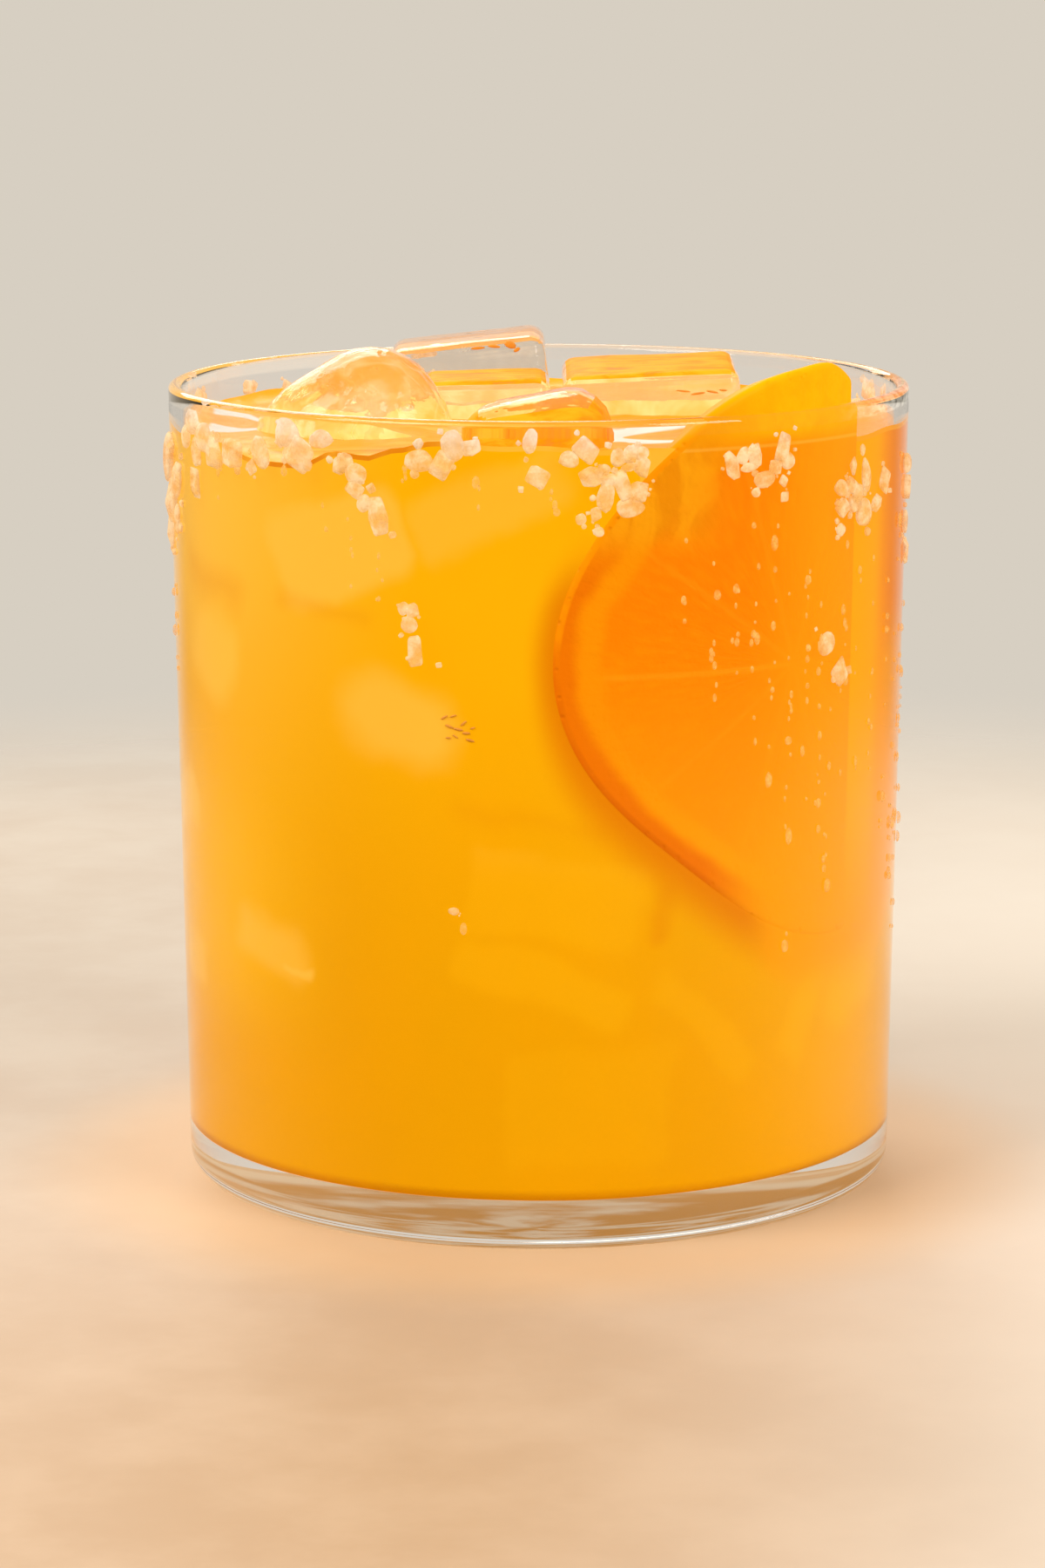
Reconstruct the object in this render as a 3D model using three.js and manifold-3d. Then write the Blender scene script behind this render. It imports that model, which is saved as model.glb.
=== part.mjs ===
// A tumbler of iced orange margarita: a clear glass with a thick base, the drink up to just
// under its rim, five ice cubes that stand out of the drink, a cut wheel of orange pressed
// against the wall, and coarse salt stuck to the rim.
// Millimetres, +Z up. The origin is the middle of the glass's foot, and -Y is the front.
// Azimuths are in degrees from the front, and grow towards the right (+X).

import * as THREE from 'three';
import { mergeVertices } from 'three/addons/utils/BufferGeometryUtils.js';
import { RoundedBoxGeometry } from 'three/addons/geometries/RoundedBoxGeometry.js';
import Module from 'manifold-3d';

// Glass
const GLASS_HEIGHT = 95.3;
const FOOT_RADIUS = 42.6;
const RIM_RADIUS = 44.0;
const WALL_AT_FOOT = 2.2;
const WALL_AT_RIM = 1.6;
const BASE_THICKNESS = 5.8;
const HEEL_ROUND = 2.4;
const FLOOR_ROUND = 3.2;
const GLASS_SIDES = 72;

// Drink
const DRINK_LEVEL = 90.0;
const MENISCUS_RISE = 0.3;
const MENISCUS_WIDTH = 2.2;
const RIPPLE = 0.15;
const RIPPLE_LENGTH = new THREE.Vector2(4.1, 5.3);
const SURFACE_RINGS = [37, 30, 20, 10];
const DRINK_SIDES = 60;

// The gap that touching pieces keep
const GAP = 0.3;

// Orange wheel, cut past its middle and bent to the wall. Its outline is uneven: an oval and
// an egg shape are added to the circle, each with the turn (from the top, to the left) of its crest.
// The inner face is smaller than the one at the wall by the taper's share.
const WHEEL_RADIUS = 30.1;
const WHEEL_OVAL = 0.11;
const WHEEL_OVAL_TURN = 21;
const WHEEL_EGG = 0.085;
const WHEEL_EGG_TURN = -24;
const WHEEL_TAPER = 0.045;
const WHEEL_THICKNESS = 4.8;
const WHEEL_EDGE = 0.9;
const WHEEL_AZIMUTH = 42.5;
const WHEEL_HEIGHT = 66.4;
const CUT_PAST_MIDDLE = 10.4;
const PULP_RADIUS = 23.6;
const CORE_RADIUS = 2.2;
const PULP_DEPTH = 0.45;
const PULP_RINGS = 2;
const PULP_BANK = 0.5;
const WHEEL_SEGMENTS = 10;
const STEPS_PER_SEGMENT = 6;

// Ice cubes: middle, size and turn (degrees about X, Y and Z), how round the edges have melted,
// and the number of steps in a rounded edge
const ICE = {
  ice_left: { at: [-21.6, -9.0, 89.0], size: [19.4, 18.6, 23.2], turn: [0, 54, 8], round: 8.9, steps: 3 },
  ice_back: { at: [-7.8, 27.6, 87.5], size: [19.4, 17, 20.5], turn: [0, -6.5, 0], round: 1.8, steps: 2 },
  ice_right: { at: [14.0, 15.2, 85.5], size: [21.3, 20, 20.5], turn: [1.5, -2.5, 0], round: 1.6, steps: 2 },
  ice_middle: { at: [-6.2, 9.6, 84.7], size: [15.6, 15, 20.5], turn: [0, -1, 0], round: 1.8, steps: 2 },
  ice_front: { at: [0.5, -22.0, 86.3], size: [16.9, 14.0, 19], turn: [0, -9, -4], round: 4.4, steps: 2 },
};

// Salt: clusters stuck to the outside, each a patch of the wall with its number of crystals.
// azimuth, height: middle of the patch; wide, tall: its spread; size: the largest crystal.
const SALT_CLUSTERS = [
  { azimuth: -83, height: 84.5, wide: 3.0, tall: 14, count: 8, size: 3.4 },
  { azimuth: -66, height: 88.5, wide: 5.5, tall: 9, count: 9, size: 3.2 },
  { azimuth: -53, height: 90.0, wide: 5.0, tall: 4, count: 5, size: 2.4 },
  { azimuth: -40, height: 91.2, wide: 6.0, tall: 3, count: 6, size: 3.2 },
  { azimuth: -27, height: 87.0, wide: 4.0, tall: 7, count: 7, size: 2.6 },
  { azimuth: -19, height: 71.6, wide: 1.0, tall: 6, count: 5, size: 1.8 },
  { azimuth: -12, height: 92.2, wide: 6.0, tall: 3, count: 5, size: 2.4 },
  { azimuth: -1, height: 91.4, wide: 1.5, tall: 4, count: 2, size: 2.2 },
  { azimuth: 5, height: 92.0, wide: 3.0, tall: 3, count: 4, size: 2.6 },
  { azimuth: 12, height: 88.2, wide: 5.0, tall: 7, count: 10, size: 2.6 },
  { azimuth: 34, height: 88.8, wide: 6.5, tall: 5, count: 8, size: 2.6 },
  { azimuth: 56, height: 84.2, wide: 5.0, tall: 7, count: 8, size: 2.8 },
  { azimuth: 50, height: 66.4, wide: 2.0, tall: 5, count: 2, size: 1.8 },
  { azimuth: 84, height: 80.0, wide: 3.0, tall: 16, count: 7, size: 1.9 },
  { azimuth: 108, height: 90.0, wide: 7.0, tall: 5, count: 6, size: 2.6 },
  { azimuth: 137, height: 88.5, wide: 8.0, tall: 6, count: 6, size: 2.8 },
  { azimuth: 168, height: 90.5, wide: 7.0, tall: 4, count: 5, size: 2.4 },
  { azimuth: -162, height: 88.0, wide: 6.0, tall: 7, count: 6, size: 2.6 },
  { azimuth: -131, height: 90.4, wide: 8.0, tall: 4, count: 6, size: 2.6 },
  { azimuth: -105, height: 87.6, wide: 6.0, tall: 8, count: 7, size: 3.0 },
];
const SALT_SEED = 20260;
const SALT_SMALLEST_SHARE = 0.45;
const SALT_SUNK_SHARE = 0.3;
const SALT_BELOW_RIM = 1.2;

const degrees = (value) => THREE.MathUtils.degToRad(value);
const share = (height) => Math.min(Math.max(height / GLASS_HEIGHT, 0), 1);
const outerRadius = (height) => FOOT_RADIUS + (RIM_RADIUS - FOOT_RADIUS) * share(height);
const wallThickness = (height) => WALL_AT_FOOT + (WALL_AT_RIM - WALL_AT_FOOT) * share(height);
const innerRadius = (height) => outerRadius(height) - wallThickness(height);

function onWall(azimuth, radius, height) {
  const turn = degrees(azimuth);
  return new THREE.Vector3(radius * Math.sin(turn), -radius * Math.cos(turn), height);
}

// Numbers between 0 and 1 that are the same on every run
function makeDraw(seed) {
  let state = seed >>> 0;
  return () => {
    state = (Math.imul(state, 1664525) + 1013904223) >>> 0;
    return state / 4294967296;
  };
}

const wasm = await Module();
wasm.setup();

function solidOf(geometry) {
  const bare = geometry.clone();
  bare.deleteAttribute('normal');
  bare.deleteAttribute('uv');
  const merged = mergeVertices(bare, 1e-3);
  const corners = merged.index.array;
  const kept = [];
  for (let i = 0; i < corners.length; i += 3) {
    const [a, b, c] = [corners[i], corners[i + 1], corners[i + 2]];
    if (a !== b && b !== c && c !== a) kept.push(a, b, c);
  }
  return new wasm.Manifold(new wasm.Mesh({
    numProp: 3,
    vertProperties: new Float32Array(merged.attributes.position.array),
    triVerts: new Uint32Array(kept),
  }));
}

function geometryOf(solid) {
  const mesh = solid.getMesh();
  const geometry = new THREE.BufferGeometry();
  geometry.setAttribute('position', new THREE.BufferAttribute(new Float32Array(mesh.vertProperties), 3));
  geometry.setIndex(new THREE.BufferAttribute(new Uint32Array(mesh.triVerts), 1));
  geometry.computeVertexNormals();
  return geometry;
}

function movePoints(geometry, move) {
  const position = geometry.attributes.position;
  const point = new THREE.Vector3();
  for (let i = 0; i < position.count; i += 1) {
    point.fromBufferAttribute(position, i);
    move(point);
    position.setXYZ(i, point.x, point.y, point.z);
  }
  return geometry;
}

// Part of a circle, as outline points
function roundPoints(centreRadius, centreHeight, round, fromDegrees, toDegrees, steps) {
  const points = [];
  for (let i = 0; i <= steps; i += 1) {
    const turn = degrees(fromDegrees + ((toDegrees - fromDegrees) * i) / steps);
    points.push(new THREE.Vector2(
      centreRadius + round * Math.cos(turn),
      centreHeight + round * Math.sin(turn),
    ));
  }
  return points;
}

function upright(profile, sides) {
  return new THREE.LatheGeometry(profile, sides).rotateX(Math.PI / 2);
}

function glassSolid() {
  const rimRound = WALL_AT_RIM / 2;
  const floor = BASE_THICKNESS;
  const heelMiddle = outerRadius(HEEL_ROUND) - HEEL_ROUND;
  const floorMiddle = innerRadius(floor) - FLOOR_ROUND;
  const profile = [
    new THREE.Vector2(0, 0),
    ...roundPoints(heelMiddle, HEEL_ROUND, HEEL_ROUND, -90, 0, 3),
    ...roundPoints(RIM_RADIUS - rimRound, GLASS_HEIGHT - rimRound, rimRound, 0, 180, 4),
    ...roundPoints(floorMiddle, floor + FLOOR_ROUND, FLOOR_ROUND, 0, -90, 3),
    new THREE.Vector2(0, floor),
  ];
  return solidOf(upright(profile, GLASS_SIDES));
}

// One grain: a lumpy block with twenty faces, its lower part sunk in the wall
function crystal(azimuth, height, size, draw) {
  const grain = new THREE.IcosahedronGeometry(0.5, 0);
  const stretch = new THREE.Vector3(0.75 + 0.4 * draw(), 0.5 + 0.25 * draw(), 0.8 + 0.6 * draw());
  grain.rotateX(2 * Math.PI * draw());
  grain.rotateZ(2 * Math.PI * draw());
  grain.scale(size * stretch.x, size * stretch.y, size * stretch.z);
  grain.rotateY(Math.PI * (draw() - 0.5) * 0.6);
  const proud = size * stretch.y * (0.5 - SALT_SUNK_SHARE);
  const place = onWall(azimuth, outerRadius(height) + proud, height);
  grain.rotateZ(degrees(azimuth));
  grain.translate(place.x, place.y, place.z);
  return solidOf(grain);
}

function saltedGlass() {
  const draw = makeDraw(SALT_SEED);
  const highest = GLASS_HEIGHT - SALT_BELOW_RIM;
  let solid = glassSolid();
  for (const { azimuth, height, wide, tall, count, size } of SALT_CLUSTERS) {
    for (let i = 0; i < count; i += 1) {
      const across = azimuth + wide * (draw() - 0.5) * 2;
      const along = Math.min(height + tall * (draw() - 0.5), highest);
      const grainSize = size * (SALT_SMALLEST_SHARE + (1 - SALT_SMALLEST_SHARE) * draw());
      solid = solid.add(crystal(across, along, grainSize, draw));
    }
  }
  return solid;
}

// The wheel lies flat at first: X to the right along the wall, Y inwards, Z up
function flatWheel(grow, front) {
  const radius = WHEEL_RADIUS + grow;
  const back = WHEEL_THICKNESS + grow;
  const rings = [CORE_RADIUS, CORE_RADIUS + 2 * PULP_BANK];
  for (let i = 1; i <= PULP_RINGS; i += 1) {
    rings.push(CORE_RADIUS + ((PULP_RADIUS - CORE_RADIUS) * i) / PULP_RINGS - PULP_BANK);
  }
  rings.push(PULP_RADIUS + PULP_BANK);
  const profile = [
    new THREE.Vector2(0, front),
    ...rings.map((ring) => new THREE.Vector2(ring, front)),
    new THREE.Vector2(radius - WHEEL_EDGE, front),
    new THREE.Vector2(radius, front + WHEEL_EDGE),
    new THREE.Vector2(radius, back - WHEEL_EDGE),
    new THREE.Vector2(radius - WHEEL_EDGE, back),
    ...rings.reverse().map((ring) => new THREE.Vector2(ring, back)),
    new THREE.Vector2(0, back),
  ];
  return new THREE.LatheGeometry(profile, WHEEL_SEGMENTS * STEPS_PER_SEGMENT);
}

// The pulp lies a little below the pith and the walls between its segments
function sinkPulp(point) {
  const reach = Math.hypot(point.x, point.z);
  const turn = Math.atan2(point.x, point.z) / (2 * Math.PI);
  const steps = WHEEL_SEGMENTS * STEPS_PER_SEGMENT;
  const step = Math.round((turn + 1) * steps) % STEPS_PER_SEGMENT;
  const onMembrane = step === STEPS_PER_SEGMENT / 2;
  if (reach < CORE_RADIUS + PULP_BANK || reach > PULP_RADIUS || onMembrane) return;
  point.y += point.y < WHEEL_THICKNESS / 2 ? PULP_DEPTH : -PULP_DEPTH;
}

function makeUneven(point) {
  const turn = Math.atan2(-point.x, point.z);
  const oval = WHEEL_OVAL * Math.cos(2 * (turn - degrees(WHEEL_OVAL_TURN)));
  const egg = WHEEL_EGG * Math.cos(3 * (turn - degrees(WHEEL_EGG_TURN)));
  const depth = THREE.MathUtils.clamp(point.y / WHEEL_THICKNESS, 0, 1);
  const factor = (1 + oval + egg) * (1 - WHEEL_TAPER * depth);
  point.x *= factor;
  point.z *= factor;
}

// What the straight, upright cut takes off
function cutAway(grow) {
  const reach = 3 * WHEEL_RADIUS;
  const block = new THREE.BoxGeometry(reach, reach, reach);
  block.translate(CUT_PAST_MIDDLE + grow + reach / 2, 0, 0);
  return solidOf(block);
}

function bendToWall(solid) {
  const middle = innerRadius(WHEEL_HEIGHT);
  const bent = movePoints(geometryOf(solid), (point) => {
    const height = WHEEL_HEIGHT + point.z;
    const azimuth = WHEEL_AZIMUTH + THREE.MathUtils.radToDeg(point.x / middle);
    point.copy(onWall(azimuth, innerRadius(height) - GAP - point.y, height));
  });
  return solidOf(bent);
}

function orangeWheel() {
  const flat = movePoints(movePoints(flatWheel(0, 0), sinkPulp), makeUneven);
  return bendToWall(solidOf(flat).subtract(cutAway(0)));
}

// The wheel's place in the drink, open towards the wall
function wheelPocket() {
  const flat = movePoints(flatWheel(GAP, -WALL_AT_FOOT), makeUneven);
  return bendToWall(solidOf(flat).subtract(cutAway(GAP)));
}

// A cube with edges that have melted round
function iceCube({ at, size, turn, round, steps }, grow) {
  const [wide, deep, tall] = size.map((side) => side + 2 * grow);
  const cube = new RoundedBoxGeometry(wide, deep, tall, steps, round + grow);
  cube.rotateX(degrees(turn[0]));
  cube.rotateY(degrees(turn[1]));
  cube.rotateZ(degrees(turn[2]));
  cube.translate(...at);
  return solidOf(cube);
}

function drinkBody() {
  const level = DRINK_LEVEL;
  const floor = BASE_THICKNESS + GAP;
  const wall = (height) => innerRadius(height) - GAP;
  const foot = wall(floor + FLOOR_ROUND);
  const profile = [
    new THREE.Vector2(0, floor),
    ...roundPoints(foot - FLOOR_ROUND, floor + FLOOR_ROUND, FLOOR_ROUND, -90, 0, 3),
    new THREE.Vector2(wall(level), level + MENISCUS_RISE),
    new THREE.Vector2(wall(level) - MENISCUS_WIDTH, level),
    ...SURFACE_RINGS.map((radius) => new THREE.Vector2(radius, level)),
    new THREE.Vector2(0, level),
  ];
  const body = upright(profile, DRINK_SIDES);
  movePoints(body, (point) => {
    const reach = Math.hypot(point.x, point.y);
    if (point.z < level || reach > wall(level) - MENISCUS_WIDTH) return;
    point.z += RIPPLE * Math.sin(point.x / RIPPLE_LENGTH.x) * Math.cos(point.y / RIPPLE_LENGTH.y);
  });
  return solidOf(body);
}

function drink() {
  let solid = drinkBody().subtract(wheelPocket());
  for (const cube of Object.values(ICE)) solid = solid.subtract(iceCube(cube, GAP));
  return solid;
}

function material(colour, roughness, opacity = 1) {
  return new THREE.MeshStandardMaterial({
    color: colour,
    roughness,
    metalness: 0,
    opacity,
    transparent: opacity < 1,
  });
}

function named(name, solid, finish) {
  const mesh = new THREE.Mesh(geometryOf(solid), finish);
  mesh.name = name;
  return mesh;
}

const margarita = new THREE.Group();
margarita.add(named('glass', saltedGlass(), material(0xe9e4d8, 0.05, 0.3)));
margarita.add(named('drink', drink(), material(0xfbab00, 0.15)));
margarita.add(named('orange_wheel', orangeWheel(), material(0xff9100, 0.4)));
for (const [name, cube] of Object.entries(ICE)) {
  margarita.add(named(name, iceCube(cube, 0), material(0xf7e2b4, 0.1, 0.5)));
}

export default margarita;
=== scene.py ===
# A tumbler of iced orange margarita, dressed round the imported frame.
# Metres, +Z up, the glass's foot on the floor at the origin, -Y to the front.
# Azimuths are in degrees from the front, and grow towards the right (+X).
import math

import bmesh
import bpy
from mathutils import Matrix, Vector


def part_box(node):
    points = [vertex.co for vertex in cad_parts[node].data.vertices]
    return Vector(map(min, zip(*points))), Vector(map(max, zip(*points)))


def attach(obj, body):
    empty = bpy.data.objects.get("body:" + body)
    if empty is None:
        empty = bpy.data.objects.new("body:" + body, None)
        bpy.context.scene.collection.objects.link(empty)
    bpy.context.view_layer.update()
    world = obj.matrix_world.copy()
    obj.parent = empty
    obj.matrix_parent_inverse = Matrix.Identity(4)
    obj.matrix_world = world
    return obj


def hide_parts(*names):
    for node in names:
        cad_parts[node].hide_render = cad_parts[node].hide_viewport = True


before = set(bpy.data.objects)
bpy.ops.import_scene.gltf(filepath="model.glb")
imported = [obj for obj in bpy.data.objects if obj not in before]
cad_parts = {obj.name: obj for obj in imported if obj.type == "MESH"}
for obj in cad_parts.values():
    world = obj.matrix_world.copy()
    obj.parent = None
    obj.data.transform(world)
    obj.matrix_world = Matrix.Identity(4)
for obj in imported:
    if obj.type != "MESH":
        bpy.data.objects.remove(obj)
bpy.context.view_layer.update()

MM = 0.001

# Glass
GLASS_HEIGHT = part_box("glass")[1].z
FOOT_RADIUS = 42.6 * MM
RIM_RADIUS = 44.0 * MM
WALL_AT_FOOT = 2.2 * MM
WALL_AT_RIM = 1.6 * MM
BASE_THICKNESS = 5.8 * MM
RIM_ROUND = 0.48 * WALL_AT_RIM
HEEL_ROUND = 2.4 * MM
FLOOR_ROUND = 1.6 * MM
PUNT_RADIUS = 37.0 * MM
PUNT_DEPTH = 0.5 * MM
PUNT_SLOPE = 1.6 * MM
PUNT_RING = 9 * MM
FLOOR_RING = 7 * MM
# The rim above RIM_BAND mirrors the room more and also carries a painted reflection and glow
RIM_BAND = 93.4 * MM         # the rim above this height mirrors the room more
GLASS_SIDES = 192
ROUND_STEPS = 7              # steps in a rounded edge
GLASS_IOR = 1.5

# Drink
DRINK_LEVEL = 90.0 * MM
DRINK_REACH = 0.08 * MM      # how far the drink runs into the glass, so that no air shows between
MENISCUS_LENGTH = 1.5 * MM
ICE_CLIMB = 0.5 * MM
ICE_CLIMB_LENGTH = 1.2 * MM
RIPPLE_HEIGHT = 0.15 * MM
WET_LINE = 0.55 * MM         # height of the darker line where the drink ends on the wall
CONTACT_LINE = [             # azimuth, and the height in millimetres that the drink wets the wall up to
    (-180, 91.0), (-150, 90.5), (-128, 91.3), (-104, 90.7), (-88, 91.2), (-75, 90.6), (-64, 90.8),
    (-57, 90.7), (-48, 89.3), (-38.5, 89.6), (-32.4, 91.0), (-27, 90.8), (-22, 92.0), (-15.7, 92.8),
    (-2.5, 92.5), (9, 92.1), (22.5, 91.9), (40, 91.5), (57, 91.4), (70, 91.5), (92, 91.4), (120, 90.5),
    (146, 91.2), (180, 91.0),
]
TOP_RINGS = [0.35, 0.5, 0.7, 0.9, 1.2, 1.5, 1.8, 2.2, 2.6, 3.0, 3.4, 3.8, 4.2, 4.6, 4.8]
SIDE, TOP, UNDERSIDE, WET_EDGE, AROUND_ICE = range(5)  # the drink's finishes, in their order
CLOUDED_WHEEL = (250, 161, 0)  # the drink's tone where it hides the wheel

# Painted reflections of the bright room on the drink's surface: a wedge from its broad end to its tip, each
# as
# X and Y in millimetres, then half the broad end's width and the tone
TOP_SHINES = [
    ((6.0, -18.6), (19.2, -18.0), 3.8, (240, 235, 224)),
    ((-39.5, -4.0), (-30.5, -10.0), 4.2, (216, 210, 198)),
]

# Ice sunk behind the wall: azimuth and height of its middle, half its width and height, turn,
# rounding and blur in millimetres, and how strongly it shows
SUNK_CUBES = [
    (-32.5, 80.3, 9.5, 5.6, 18, 3.0, 1.3, 0.75),
    (-62.0, 66.0, 6.0, 4.6, -20, 4.0, 2.2, 0.8),
    (-22.0, 61.0, 7.2, 4.6, -14, 4.4, 2.2, 0.72),
    (-48.0, 33.4, 6.4, 3.0, -10, 2.6, 1.8, 0.6),
    (-42.0, 31.2, 2.6, 0.8, -8, 0.7, 0.8, 0.95),
    (2.5, 41.0, 10.6, 4.6, -8, 1.0, 0.8, 0.34),
    (0.5, 31.4, 10.4, 2.8, -18, 0.9, 0.8, 0.36),
    (7.7, 17.0, 10.0, 6.6, 0, 1.0, 0.9, 0.2),
    (27.0, 25.6, 8.4, 2.0, -43, 0.8, 0.9, 0.3),
    (49.0, 26.6, 8.0, 2.2, 56, 0.9, 1.2, 0.32),
    (60.0, 29.0, 5.0, 6.0, 10, 2.6, 2.2, 0.4),
    (-76.0, 47.0, 5.0, 3.4, 8, 2.4, 1.4, 0.6),
    (-73.0, 28.0, 3.6, 3.0, 0, 2.0, 1.4, 0.5),
    (-8.0, 85.6, 9.0, 3.4, 24, 1.6, 1.5, 0.4),
    (97.0, 70.0, 9.0, 7.0, 16, 3.0, 1.8, 0.7),
    (104.0, 44.0, 8.0, 8.0, -10, 3.0, 1.8, 0.55),
    (132.0, 62.0, 9.5, 6.5, 30, 3.0, 1.6, 0.7),
    (148.0, 30.0, 10.0, 7.0, -8, 2.0, 1.2, 0.4),
    (165.0, 74.0, 8.0, 6.0, -22, 3.0, 2.0, 0.75),
    (-166.0, 50.0, 9.0, 8.0, 12, 3.0, 1.8, 0.6),
    (-140.0, 72.0, 9.0, 6.0, 20, 3.5, 1.6, 0.75),
    (-134.0, 38.0, 8.5, 7.5, -16, 2.4, 1.5, 0.5),
    (-108.0, 60.0, 8.0, 7.0, 10, 3.0, 2.0, 0.65),
    (-104.0, 22.0, 9.0, 5.0, -6, 2.0, 1.2, 0.35),
]

# Darker drink beside sunk ice, in the same terms
SHADED_EDGES = [
    (20.0, 39.5, 1.0, 4.4, -6, 0.9, 1.0, 0.45),
    (-36.0, 73.2, 7.0, 0.8, -8, 0.8, 1.4, 0.25),
    (-62.0, 74.5, 7.0, 1.6, -14, 1.2, 2.2, 0.3),
    (-2.0, 50.0, 9.0, 1.0, -10, 0.9, 1.6, 0.2),
]

# Orange wheel, as the frame has it
WHEEL_RADIUS = 30.1 * MM
WHEEL_WAVES = [              # how it differs from a circle: waves round it, their depth, and a crest's turn
    (2, 0.11, math.radians(21)),
    (3, 0.085, math.radians(-24)),
]
WHEEL_CREST = 0.032          # how far its top stands up beside the cut
WHEEL_CREST_TURN = math.radians(-12)
WHEEL_CREST_WIDTH = math.radians(7)
WHEEL_THICKNESS = 4.8 * MM
WHEEL_AZIMUTH = math.radians(42.5)
WHEEL_HEIGHT = 66.4 * MM
CUT_PAST_MIDDLE = 10.4 * MM
WHEEL_REACH = 0.14 * MM
DRINK_OVER_WHEEL = 0.2 * MM  # how far the drink runs into the wheel
WHEEL_TAPER = 0.045          # how much smaller the wheel's inner face is
WHEEL_SIDES = 180
PEEL_THICKNESS = 1.3 * MM
PEEL_ROUND = 0.9 * MM
PEEL_OVERLAP = 0.1 * MM
PULP_SHARE = 0.8
WHEEL_SEGMENTS = 10

# Ice: size, turn in degrees and how round the edges are; each cube's middle is its node's
ICE = {
    "ice_left": ((19.4, 18.6, 23.2), (0, 54, 8), 8.9),
    "ice_back": ((19.4, 17.0, 20.5), (0, -6.5, 0), 1.8),
    "ice_right": ((21.3, 20.0, 20.5), (1.5, -2.5, 0), 1.6),
    "ice_middle": ((15.6, 15.0, 20.5), (0, -1, 0), 1.8),
    "ice_front": ((16.9, 14.0, 19.0), (0, -9, -4), 4.4),
}
ICE_CLEARANCE = 0.08 * MM    # how far the drink runs into each cube
MELTED_FROM = 4              # cubes with rounder edges than this are more melted
FINE_ROUND_FROM = 6          # edges rounder than this take more steps
MELT_WAVE = 0.4 * MM
DEEP_MELT_WAVE = 0.9 * MM
AMBER_PART = {"ice_right": "top", "ice_middle": "top", "ice_front": "sides"}
ICE_IOR = 1.31
ICE_SHADOW_TINT = (0.98, 0.96, 0.92, 1)

# Salt, as the frame has it: azimuth and height, spread in degrees across and in millimetres along,
# number of crystals and the largest one's size
SALT_CLUSTERS = [
    (-83, 84.5, 3.0, 14, 8, 3.4),
    (-66, 88.5, 5.5, 9, 9, 3.2),
    (-53, 90.0, 5.0, 4, 5, 2.4),
    (-40, 91.2, 6.0, 3, 6, 3.2),
    (-27, 87.0, 4.0, 7, 7, 2.6),
    (-19, 71.6, 1.0, 6, 5, 1.8),
    (-12, 92.2, 6.0, 3, 5, 2.4),
    (-1, 91.4, 1.5, 4, 2, 2.2),
    (5, 92.0, 3.0, 3, 4, 2.6),
    (12, 88.2, 5.0, 7, 10, 2.6),
    (34, 88.8, 6.5, 5, 8, 2.6),
    (56, 84.2, 5.0, 7, 8, 2.8),
    (50, 66.4, 2.0, 5, 2, 1.8),
    (84, 80.0, 3.0, 16, 7, 1.9),
    (108, 90.0, 7.0, 5, 6, 2.6),
    (137, 88.5, 8.0, 6, 6, 2.8),
    (168, 90.5, 7.0, 4, 5, 2.4),
    (-162, 88.0, 6.0, 7, 6, 2.6),
    (-131, 90.4, 8.0, 4, 6, 2.6),
    (-105, 87.6, 6.0, 8, 7, 3.0),
]

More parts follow.
